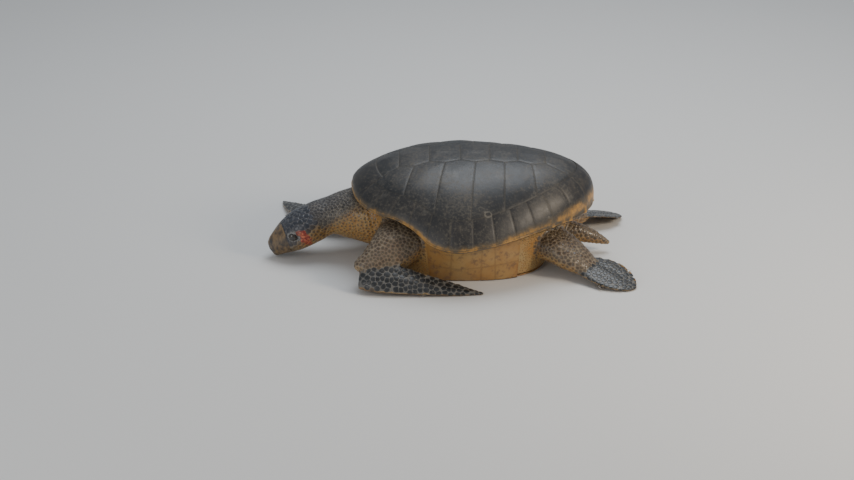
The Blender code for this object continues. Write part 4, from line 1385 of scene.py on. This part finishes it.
def scale_plates(name, chosen, height):
    """Joined plates over the chosen roots: low domes with bevelled borders, cell beside cell."""
    root_points = points[roots]
    tree = tree_of(root_points)
    turn = np.linspace(0.0, 2.0 * np.pi, DIRECTIONS, endpoint=False)
    verts, faces, root_of, ring_of = [], [], [], []
    for k in np.flatnonzero(chosen):
        root, normal, way = root_points[k], normals[roots[k]], place["way"][roots[k]]
        first = way - normal * (way @ normal)
        if np.linalg.norm(first) < 0.2:
            first = np.cross(normal, (0.3, 0.5, 0.8))
        first = first / np.linalg.norm(first)
        second = np.cross(normal, first)
        limit = spacing[roots[k]] * 0.80
        reach = np.full(DIRECTIONS, limit)
        for _, j, distance in tree.find_n(root, 18):
            if j == k or distance > 2.4 * limit or normals[roots[j]] @ normal < 0.25:
                continue
            offset = root_points[j] - root
            flat = np.array([offset @ first, offset @ second])
            size = np.hypot(*flat)
            if size < 1e-4:
                continue
            facing_it = (np.cos(turn) * flat[0] + np.sin(turn) * flat[1]) / size
            border = 0.5 * size - SEAM_WIDTH * 0.5
            ok = facing_it > 0.15
            reach[ok] = np.minimum(reach[ok], border / facing_it[ok])
        reach = np.maximum(reach, 0.0012)
        start = len(verts)
        for share, rise in ((1.0, -0.0004), (0.96, 0.55), (0.72, 0.95)):
            for c, s, r in zip(np.cos(turn), np.sin(turn), reach * share):
                guess = root + first * (c * r) + second * (s * r)
                found = skin_surface.find_nearest(guess, 0.02)
                base = np.array(found[0]) if found[0] else guess
                up = np.array(found[1]) if found[0] else normal
                if up @ normal < 0.3:
                    up = normal
                lift = rise if rise < 0.0 else height * rise
                verts.append(base + up * lift)
                ring_of.append(share)
                root_of.append(k)
        verts.append(root + normal * height)
        ring_of.append(0.0)
        root_of.append(k)
        n = DIRECTIONS
        for ring in (0, 1):
            for i in range(n):
                a, b = start + ring * n + i, start + ring * n + (i + 1) % n
                faces.append((a, b, b + n, a + n))
        top = start + 3 * n
        faces += [(start + 2 * n + i, start + 2 * n + (i + 1) % n, top) for i in range(n)]
        faces.append(tuple(range(start + n - 1, start - 1, -1)))
    verts = np.array(verts)
    verts[:, 2] = np.maximum(verts[:, 2], 0.0)
    made = mesh_object(name, verts, faces, move=True)
    set_attribute(made, "ring", ring_of)
    owner = roots[np.array(root_of)]
    for mark, values in marks.items():
        set_attribute(made, mark, values[owner])
    tone = np.random.default_rng(11).random(len(roots))
    set_attribute(made, "tone", tone[np.array(root_of)])
    paint_map(made, owner, np.array(root_of))
    print(name, "scales", int(chosen.sum()), "triangles", triangles(made))
    return made


def paint_map(piece, owner, root_of):
    """A UV map where each scale is a small patch at its root's place on an unwrap of the body's parts.

    Each loft has its own cell; across it runs the way round the part and up it the way along.
    """
    lofts_here = place["loft"][owner]
    length = np.array([loft["along"].max() for loft in lofts])
    cell_x, cell_y = lofts_here % 4, lofts_here // 4
    u = (cell_x + 0.04 + 0.92 * place["around"][owner]) / 4.0
    v = (cell_y + 0.04 + 0.92 * place["along"][owner] / length[lofts_here]) / 3.0
    shape = vertex_array(piece) - SHIFT
    root = points[owner]
    normal = normals[owner]
    way = place["way"][owner]
    first = way - normal * np.sum(way * normal, 1, keepdims=True)
    first /= np.maximum(np.linalg.norm(first, axis=1, keepdims=True), 1e-6)
    second = np.cross(normal, first)
    offset = shape - root
    size = np.maximum(spacing[owner], 0.004)
    u = u + 0.0015 * np.sum(offset * second, 1) / size
    v = v + 0.0015 * np.sum(offset * first, 1) / size
    layer = piece.data.uv_layers.new(name="OFBake")
    index = np.empty(len(piece.data.loops), np.int32)
    piece.data.loops.foreach_get("vertex_index", index)
    layer.data.foreach_set("uv", np.stack([u[index], v[index]], 1).astype(np.float32).ravel())


root_part = place["part"][roots]
coats = {
    "head_scales": scale_plates("head_scales", root_part == PARTS.index("head"), HEAD_SCALE_HEIGHT),
    "neck_scales": scale_plates("neck_scales", root_part == PARTS.index("neck"), BODY_SCALE_HEIGHT),
    "flipper_scales": scale_plates("flipper_scales", np.isin(root_part, BLADE_PARTS), BODY_SCALE_HEIGHT),
    "limb_scales": scale_plates("limb_scales", np.isin(root_part, LIMB_PARTS), BODY_SCALE_HEIGHT),
}

# %% [markdown]
# ## Beak, eyes and claws
# The beak is a horn sheath over the front of both jaws. The head's own rings, cut by the mouth's plane and
# a slanted one behind, give it the right fit. The eye is a ball with a clearer bulge in front, and a claw
# is a bent cone whose rings shrink towards the tip.

# %% Beak
def cut_body(bm, point, normal):
    """Keeps what lies behind the plane and closes the cut."""
    geometry = bm.verts[:] + bm.edges[:] + bm.faces[:]
    bmesh.ops.bisect_plane(bm, geom=geometry, dist=1e-6, plane_co=point, plane_no=normal, clear_outer=True)
    bmesh.ops.holes_fill(bm, edges=[e for e in bm.edges if e.is_boundary], sides=0)


def beak_piece(name, planes, grow):
    rings = head_rings[head_along > 0.07]
    rows, count = rings.shape[:2]
    shape = mesh_object(name, rings.reshape(-1, 3), grid_faces(rows, count, closed=True) + [
        tuple(range(count))[::-1], tuple(range((rows - 1) * count, rows * count))
    ], move=False)
    turn_outward(shape)
    flat = vertex_array(shape)
    out = vertex_normals(shape)
    a, s, h = head_local(flat)
    ridge = 0.0010 * np.exp(-((s / 0.006) ** 2)) * smooth(0.10, 0.13, a) * (h > 0)
    flat = flat + out * (grow + ridge + 0.00025 * wave_noise(flat, 60.0, 31))[:, None]
    write_vertices(shape, flat)
    bm = bmesh.new()
    bm.from_mesh(shape.data)
    for point, normal in planes:
        cut_body(bm, Vector(point), Vector(normal))
    bmesh.ops.recalc_face_normals(bm, faces=bm.faces)
    bm.to_mesh(shape.data)
    bm.free()
    write_vertices(shape, vertex_array(shape) + SHIFT)
    shape.data.shade_smooth()
    shape.data.set_sharp_from_angle(angle=math.radians(48.0))
    return shape


slope = math.radians(MOUTH_SLOPE)
corner = head_point(MOUTH_CORNER[0], 0.0, MOUTH_CORNER[1])
mouth_normal = UP * math.cos(slope) - FORWARD * math.sin(slope)
upper_rear = -FORWARD * math.cos(0.30) - UP * math.sin(0.30)
lower_rear = -FORWARD * math.cos(0.20) + UP * math.sin(0.20)
horn = {
    "beak_upper": beak_piece("beak_upper_horn", (
        (corner + mouth_normal * 0.0004, -mouth_normal),
        (head_point(BEAK_START - 0.004, 0.0, 0.004), upper_rear),
    ), 0.0004),
    "beak_lower": beak_piece("beak_lower_horn", (
        (corner - mouth_normal * 0.0007, mouth_normal),
        (head_point(BEAK_START + 0.001, 0.0, -0.02), lower_rear),
    ), 0.0001),
}
print("beak", {name: len(piece.data.polygons) for name, piece in horn.items()})

# %% [markdown]
# ## Eyes
# A turtle's eye is dark and wet. A plain ball would glint in one even spot, so its front swells a little,
# and how far forward each point faces is kept for the finish to draw the iris.

# %% Eyes
def make_eye(word, side):
    """A ball whose front bulges a little, with how far forward each point faces kept for the material to draw
    the iris.
    """
    bm = bmesh.new()
    bmesh.ops.create_uvsphere(bm, u_segments=48, v_segments=32, radius=EYE_RADIUS)
    mesh = bpy.data.meshes.new(f"eye_{word}_ball")
    bm.to_mesh(mesh)
    bm.free()
    made = bpy.data.objects.new(f"eye_{word}_ball", mesh)
    bpy.context.scene.collection.objects.link(made)
    axis = LEFT * side * 0.93 + FORWARD * 0.30 + UP * 0.12
    axis = axis / np.linalg.norm(axis)
    ball = vertex_array(made)
    front = ball @ axis / EYE_RADIUS
    ball *= (1.0 + 0.035 * smooth(0.80, 0.97, front) - 0.01 * (1.0 - smooth(0.80, 0.97, front)))[:, None]
    write_vertices(made, ball + eye_centre(side) + SHIFT)
    mesh.shade_smooth()
    set_attribute(made, "front", front)
    return made


horn["eye_left"] = make_eye("left", 1.0)
horn["eye_right"] = make_eye("right", -1.0)

# %% [markdown]
# ## Claws
# Each flipper of the species has a claw on its leading edge. Rings that shrink along a slightly bent line are
# enough, because it is only a few millimetres long.

# %% Claws
def make_claw(node, base, tip, radius):
    base, tip = np.array(base), np.array(tip)
    axis = (tip - base) / np.linalg.norm(tip - base)
    flat = np.cross(axis, (0.0, 0.0, 1.0))
    flat /= np.linalg.norm(flat)
    rise = np.cross(flat, axis)
    across, up = circle(20)
    rings = []
    for share in np.linspace(0.0, 1.0, 18):
        centre = base + (tip - base) * share + rise * radius * 0.9 * share * (1.0 - share)
        size = radius * (1.0 - 0.90 * share**1.3) * (1.0 + 0.04 * math.sin(share * 26.0))
        rings.append(centre + flat * (across * size)[:, None] + rise * (up * size * 0.85)[:, None])
    rings = np.array(rings)
    rings[..., 2] = np.maximum(rings[..., 2], 0.0)
    made = mesh_object(node + "_horn", rings.reshape(-1, 3), grid_faces(18, 20, closed=True) + [
        tuple(range(20))[::-1], tuple(range(17 * 20, 18 * 20))
    ])
    turn_outward(made)
    horn[node] = made


make_claw("fore_claw_left", (-0.118, -0.304, 0.008), (-0.140, -0.319, 0.004), 0.0045)
make_claw("fore_claw_right", (-0.500, 0.228, 0.014), (-0.522, 0.234, 0.011), 0.0045)
make_claw("hind_claw_left", (0.318, -0.258, 0.008), (0.326, -0.276, 0.005), 0.0040)
make_claw("hind_claw_right", (0.318, 0.258, 0.008), (0.326, 0.276, 0.005), 0.0040)
print("horn and eyes", len(horn))

# %% [markdown]
# ## Finishes
# Wet horn is dark and glossy with a blue sky in it, worn pale along its seams and specked with algae. Skin
# is duller and warm below. Each finish mixes a few colours by the markings stored on the points and by
# noise in the object's own coordinates, so it stays put from every side.

# %% Shell finish
def shell_finish(name, base, deep, seam, edge_band=False):
    finish = Finish(name, roughness=0.45, Coat_Weight=0.12, Coat_Roughness=0.30)
    where = finish.place()
    border = finish.read("border")
    broad = finish.noise(where, 7.0, 4.0)
    streak = finish.noise(where, 38.0, 5.0, 0.7)
    speck = finish.noise(where, 150.0, 3.0, 0.7)
    colour = finish.blend(finish.step(broad + streak * 0.35, 0.50, 0.85), deep, base)
    colour = finish.blend(finish.step(streak, 0.50, 0.68) * 0.50, colour, (0.064, 0.054, 0.042))
    algae = finish.step(speck + broad * 0.4, 0.70, 0.88)
    colour = finish.blend(algae * 0.42, colour, (0.130, 0.114, 0.086))
    wear = finish.step(finish.noise(where, 16.0, 5.0, 0.75), 0.56, 0.66)
    colour = finish.blend(wear * 0.32, colour, (0.105, 0.096, 0.082))
    line = 1.0 - finish.step(border + (streak - 0.5) * 0.004, 0.0008, 0.0030)
    colour = finish.blend(line * 0.30, colour, seam)
    warp = finish.noise(where, 30.0, 3.0, output="Color")
    spots = finish.cells(finish.shift(where, warp, 0.030), 21.0, randomness=1.0)
    ring = finish.step(spots, 0.10, 0.13) * (1.0 - finish.step(spots, 0.17, 0.21))
    rare = finish.step(finish.noise(where, 5.3, 1.0), 0.60, 0.64)
    colour = finish.blend(ring * rare * 0.30, colour, (0.300, 0.270, 0.215))
    if edge_band:
        edge = finish.read("edge") + (streak - 0.5) * 0.010 + (broad - 0.5) * 0.008
        band = 1.0 - finish.step(edge, -0.001, 0.006)
        colour = finish.blend(band * 0.70, colour, (0.170, 0.115, 0.048))
        lip = 1.0 - finish.step(edge, -0.0015, 0.0026)
        colour = finish.blend(lip * 0.85, colour, (0.520, 0.260, 0.045))
    finish.feed("Base Color", colour)
    finish.feed("Roughness", 0.30 + streak * 0.30 + algae * 0.15 + line * 0.15)
    height = streak * 0.6 + speck * 0.35 + finish.noise(where, 420.0, 2.0) * 0.12 - line * 0.3
    finish.feed("Normal", finish.bump(height, 0.50, 0.0016))
    return finish.material


shell_horn = shell_finish(
    "carapace_horn", (0.031, 0.030, 0.030), (0.012, 0.013, 0.015), (0.080, 0.070, 0.054)
)
rim_horn = shell_finish("rim_horn", (0.033, 0.030, 0.028), (0.013, 0.013, 0.015), (0.080, 0.066, 0.044), True)


def belly_finish():
    finish = Finish("plastron_horn", roughness=0.42, Coat_Weight=0.15, Coat_Roughness=0.25)
    where = finish.place()
    border = finish.read("border")
    broad = finish.noise(where, 9.0, 4.0)
    streak = finish.noise(where, 60.0, 4.0, 0.65)
    colour = finish.blend(finish.step(broad, 0.35, 0.68), (0.330, 0.160, 0.042), (0.400, 0.250, 0.095))
    colour = finish.blend(finish.step(streak, 0.48, 0.70) * 0.7, colour, (0.150, 0.088, 0.055))
    line = 1.0 - finish.step(border + (streak - 0.5) * 0.006, 0.0004, 0.0036)
    colour = finish.blend(line * 0.32, colour, (0.130, 0.075, 0.035))
    finish.feed("Base Color", colour)
    finish.feed("Roughness", 0.34 + streak * 0.22)
    finish.feed("Normal", finish.bump(streak * 0.6 + finish.noise(where, 300.0) * 0.3, 0.30, 0.0008))
    return finish.material


belly_horn = belly_finish()
print("shell finishes ready")

# %% [markdown]
# ## Skin and scale finishes
# Skin shows only as the net between the scales, so it is paler and rougher. The scales read the same
# markings and add a tone of their own and, on the ochre parts, a dark middle.

# %% Skin and scale finishes
def body_colour(finish, where, light, dark):
    """The skin's ground colour between dark and light by broad noise, with the warm tone for its ochre parts.
    """
    broad = finish.noise(where, 14.0, 3.0)
    fine = finish.noise(where, 120.0, 3.0, 0.65)
    colour = finish.blend(finish.step(broad, 0.35, 0.65), dark, light)
    blotch = finish.step(broad + fine * 0.3, 0.45, 0.80)
    warm = finish.blend(blotch, (0.470, 0.225, 0.045), (0.450, 0.300, 0.110))
    return colour, warm, broad, fine


def skin_finish():
    finish = Finish("turtle_skin", roughness=0.42, Coat_Weight=0.25, Coat_Roughness=0.20)
    where = finish.place()
    colour, warm, broad, fine = body_colour(finish, where, (0.230, 0.195, 0.150), (0.150, 0.128, 0.100))
    colour = finish.blend(finish.read("slate") * 0.85, colour, (0.080, 0.082, 0.094))
    colour = finish.blend(finish.read("black") * 0.85, colour, (0.125, 0.122, 0.112))
    colour = finish.blend(finish.read("warm") * 0.85, colour, warm)
    pore = finish.cells(where, 330.0)
    colour = finish.blend((1.0 - finish.step(pore, 0.15, 0.55)) * 0.35, colour, (0.060, 0.052, 0.045))
    lid = finish.read("lid")
    crease = finish.noise(where, 260.0, 3.0, 0.7)
    # Lid skin goes between a dark and a pale grey by the crease noise that also raises the bump: painted
    # light on the fold ridges and painted shade in the creases, over the lid's own grey.
    lid_grey_with_painted_fold_shading = finish.blend(finish.step(crease, 0.42, 0.60), (0.090, 0.088, 0.090), (0.360, 0.345, 0.320))
    colour = finish.blend(lid * 0.85, colour, lid_grey_with_painted_fold_shading)
    raw = finish.read("raw")
    flesh = finish.blend(finish.step(fine, 0.42, 0.60), (0.200, 0.018, 0.012), (0.520, 0.110, 0.045))
    colour = finish.blend(raw, colour, flesh)
    finish.feed("Base Color", colour)
    finish.feed("Roughness", 0.36 + fine * 0.25 - raw * 0.15)
    height = crease * 0.5 + (finish.step(pore, 0.1, 0.6)) * 0.5 + fine * 0.3
    finish.feed("Normal", finish.bump(height, 0.45, 0.0009))
    return finish.material


def scale_finish():
    finish = Finish("turtle_scales", roughness=0.34, Coat_Weight=0.35, Coat_Roughness=0.15)
    where = finish.place()
    ring = finish.read("ring")
    tone = finish.read("tone")
    fine = finish.noise(where, 160.0, 3.0, 0.65)
    plain = finish.blend(tone, (0.040, 0.034, 0.028), (0.090, 0.074, 0.056))
    slate = finish.blend(tone, (0.016, 0.020, 0.030), (0.044, 0.047, 0.060))
    black = finish.blend(tone, (0.009, 0.010, 0.011), (0.024, 0.025, 0.027))
    colour = finish.blend(finish.read("slate"), plain, slate)
    colour = finish.blend(finish.read("black"), colour, black)
    gold = finish.blend(tone, (0.420, 0.205, 0.045), (0.480, 0.310, 0.110))
    middle = 1.0 - finish.step(ring + (fine - 0.5) * 0.3, 0.30, 0.85)
    heart = finish.blend(middle * 0.85, gold, (0.075, 0.052, 0.030))
    colour = finish.blend(finish.read("warm") * 0.9, colour, heart)
    colour = finish.blend(finish.step(fine, 0.55, 0.75) * 0.25, colour, (0.240, 0.225, 0.195))
    raw = finish.read("raw")
    flesh = finish.blend(finish.step(fine, 0.42, 0.60), (0.220, 0.020, 0.012), (0.560, 0.150, 0.060))
    colour = finish.blend(raw, colour, flesh)
    finish.feed("Base Color", colour)
    finish.feed("Roughness", 0.26 + fine * 0.26)
    finish.feed("Normal", finish.bump(fine * 0.6 + finish.noise(where, 600.0, 2.0) * 0.3, 0.35, 0.0006))
    return finish.material


skin_material = skin_finish()
scale_material = scale_finish()

# %% [markdown]
# ## Granules in the armpits and groin
# Where a limb folds against the body the skin has no plates, only small round granules. They repeat over a
# surface, so Geometry Nodes scatters their roots no closer than a spacing, sets a low seven-sided cap on
# each and joins them. Each cap keeps its root's place, so it takes the marking of the skin below it.

# %% Granule tree
GRANULE_SPACING = 0.0058
CAP_RADIUS = 0.0026
CAP_HEIGHT = 0.0007
CAP_SIDES = 7


def granule_tree(material):
    tree = bpy.data.node_groups.new("granules", "GeometryNodeTree")
    sockets = {}
    for name, kind, way in (
        ("Geometry", "NodeSocketGeometry", "INPUT"), ("Spacing", "NodeSocketFloat", "INPUT"),
        ("Cap radius", "NodeSocketFloat", "INPUT"), ("Cap height", "NodeSocketFloat", "INPUT"),
        ("Seed", "NodeSocketInt", "INPUT"), ("Geometry", "NodeSocketGeometry", "OUTPUT"),
    ):
        sockets[name + way] = tree.interface.new_socket(name, in_out=way, socket_type=kind)

    def node(kind, settings=None, **values):
        made = tree.nodes.new(kind)
        for key, value in (settings or {}).items():
            setattr(made, key, value)
        for key, value in values.items():
            made.inputs[key.replace("_", " ")].default_value = value
        return made

    link = tree.links.new
    entry = node("NodeGroupInput")
    leave = node("NodeGroupOutput")
    mask = node("GeometryNodeInputNamedAttribute", {"data_type": "FLOAT"}, Name="granules")
    scatter = node(
        "GeometryNodeDistributePointsOnFaces", {"distribute_method": "POISSON"}, Density_Max=90000.0
    )
    link(entry.outputs["Geometry"], scatter.inputs["Mesh"])
    link(entry.outputs["Spacing"], scatter.inputs["Distance Min"])
    link(entry.outputs["Seed"], scatter.inputs["Seed"])
    link(mask.outputs["Attribute"], scatter.inputs["Density Factor"])
    where = node("GeometryNodeInputPosition")
    keep = node(
        "GeometryNodeStoreNamedAttribute", {"data_type": "FLOAT_VECTOR", "domain": "POINT"}, Name="root"
    )
    link(scatter.outputs["Points"], keep.inputs["Geometry"])
    link(where.outputs["Position"], keep.inputs["Value"])
    cap = node("GeometryNodeMeshCone", None, Vertices=CAP_SIDES)
    half = node("ShaderNodeMath", {"operation": "MULTIPLY"})
    half.inputs[1].default_value = 0.55
    link(entry.outputs["Cap radius"], half.inputs[0])
    link(half.outputs[0], cap.inputs["Radius Top"])
    link(entry.outputs["Cap radius"], cap.inputs["Radius Bottom"])
    link(entry.outputs["Cap height"], cap.inputs["Depth"])
    size = node("FunctionNodeRandomValue", {"data_type": "FLOAT"})
    size.inputs[2].default_value = 0.75
    size.inputs[3].default_value = 1.10
    place_caps = node("GeometryNodeInstanceOnPoints")
    link(keep.outputs["Geometry"], place_caps.inputs["Points"])
    link(cap.outputs["Mesh"], place_caps.inputs["Instance"])
    link(scatter.outputs["Rotation"], place_caps.inputs["Rotation"])
    link(size.outputs[1], place_caps.inputs["Scale"])
    solid = node("GeometryNodeRealizeInstances")
    paint = node("GeometryNodeSetMaterial", None, Material=material)
    link(place_caps.outputs["Instances"], solid.inputs["Geometry"])
    link(solid.outputs["Geometry"], paint.inputs["Geometry"])
    link(paint.outputs["Geometry"], leave.inputs["Geometry"])
    return tree, {key: socket.identifier for key, socket in sockets.items()}


def make_granules():
    bare = (place["part"] == PARTS.index("trunk")) & seen_skin(points) & (points[:, 2] > 0.004)
    bare &= past_bridge(polar(points[:, :2])[0]) >= 1.0
    set_attribute(skin, "granules", bare)
    tree, names = granule_tree(scale_material)
    carrier = bpy.data.objects.new("granules", skin.data.copy())
    bpy.context.scene.collection.objects.link(carrier)
    carrier.data.materials.clear()
    scatter = carrier.modifiers.new("granules", "NODES")
    scatter.node_group = tree
    scatter[names["SpacingINPUT"]] = GRANULE_SPACING
    scatter[names["Cap radiusINPUT"]] = CAP_RADIUS
    scatter[names["Cap heightINPUT"]] = CAP_HEIGHT
    scatter[names["SeedINPUT"]] = 4
    apply_modifiers(carrier)
    root = np.empty(len(carrier.data.vertices) * 3)
    carrier.data.attributes["root"].data.foreach_get("vector", root)
    root = root.reshape(-1, 3)
    shape = vertex_array(carrier)
    owner, _ = nearest(tree_of(points), root)
    set_attribute(carrier, "ring", np.clip(np.linalg.norm(shape - root, axis=1) / CAP_RADIUS, 0, 1))
    for mark, values in marks.items():
        set_attribute(carrier, mark, values[owner])
    set_attribute(carrier, "tone", (owner * 0.618) % 1.0)
    write_vertices(carrier, shape + SHIFT)
    paint_map(carrier, owner, owner)
    carrier.data.attributes.remove(carrier.data.attributes["root"])
    carrier.data.shade_smooth()
    coats["granules"] = carrier
    print("granules", len(carrier.data.vertices) // (2 * CAP_SIDES), "triangles", triangles(carrier))


make_granules()


def horn_finish(name, pale, dark, shine):
    finish = Finish(name, roughness=0.35, Coat_Weight=0.30, Coat_Roughness=0.18)
    where = finish.place()
    stretch = finish.node(
        "ShaderNodeMapping", {"vector_type": "POINT"}, {"Vector": where, "Scale": (1.0, 1.0, 0.35)}
    )
    streak = finish.noise(stretch, 110.0, 4.0, 0.7)
    broad = finish.noise(where, 30.0, 3.0)
    colour = finish.blend(finish.step(streak * 0.6 + broad * 0.5, 0.42, 0.66), dark, pale)
    finish.feed("Base Color", colour)
    finish.feed("Roughness", shine + streak * 0.25)
    finish.feed("Normal", finish.bump(streak * 0.6 + finish.noise(where, 500.0, 2.0) * 0.25, 0.30, 0.0007))
    return finish.material


beak_horn = horn_finish("beak_horn", (0.230, 0.150, 0.072), (0.030, 0.027, 0.027), 0.28)
claw_horn = horn_finish("claw_horn", (0.220, 0.190, 0.150), (0.070, 0.060, 0.050), 0.30)


def eye_finish():
    finish = Finish("eye_gloss", roughness=0.05, Coat_Weight=1.0, Coat_Roughness=0.02)
    where = finish.place()
    front = finish.read("front") + (finish.noise(where, 300.0, 2.0) - 0.5) * 0.02
    iris = finish.step(front, 0.80, 0.84) * (1.0 - finish.step(front, 0.935, 0.95))
    colour = finish.blend(iris * 0.6, (0.012, 0.010, 0.010), (0.050, 0.032, 0.016))
    finish.feed("Base Color", colour)
    finish.feed("Roughness", 0.04 + iris * 0.08)
    return finish.material


eye_gloss = eye_finish()
print("finishes", len(bpy.data.materials))

# %% [markdown]
# ## Handing over
# Each piece rides on the one body, takes its finish and takes the place of its solids. The skin alone
# stands for all the soft solids.

# %% Ride and replace
FLESH = (
    "trunk", "neck", "throat", "head", "lower_jaw", "upper_arm_left", "upper_arm_right", "fore_flipper_left",
    "fore_flipper_right", "thigh_left", "thigh_right", "hind_flipper_left", "hind_flipper_right", "tail",
)


def hand_over(piece, material, slot, *nodes):
    piece.data.materials.clear()
    piece.data.materials.append(material)
    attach(piece, "root")
    if nodes:
        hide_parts(*nodes)


write_vertices(skin, vertex_array(skin) + SHIFT)
bm = bmesh.new()
bm.from_mesh(skin.data)
bmesh.ops.triangulate(bm, faces=[f for f in bm.faces if len(f.verts) > 4])
bm.to_mesh(skin.data)
bm.free()
skin.data.validate()
skin.data.shade_smooth()
hand_over(skin, skin_material, "skin", *FLESH)
for piece in coats.values():
    hand_over(piece, scale_material, "skin")
for node, piece in plates.items():
    if node.startswith(("plastron", "bridge")):
        hand_over(piece, belly_horn, "belly", node)
    elif node.startswith(("marginals", "supracaudals", "nuchal")):
        hand_over(piece, rim_horn, "rim" if node != "nuchal" else "scute", node)
    else:
        hand_over(piece, shell_horn, "scute", node)
for node, piece in horn.items():
    if node.startswith("eye"):
        hand_over(piece, eye_gloss, "eye", node)
    else:
        hand_over(piece, beak_horn if "beak" in node else claw_horn, "horn", node)
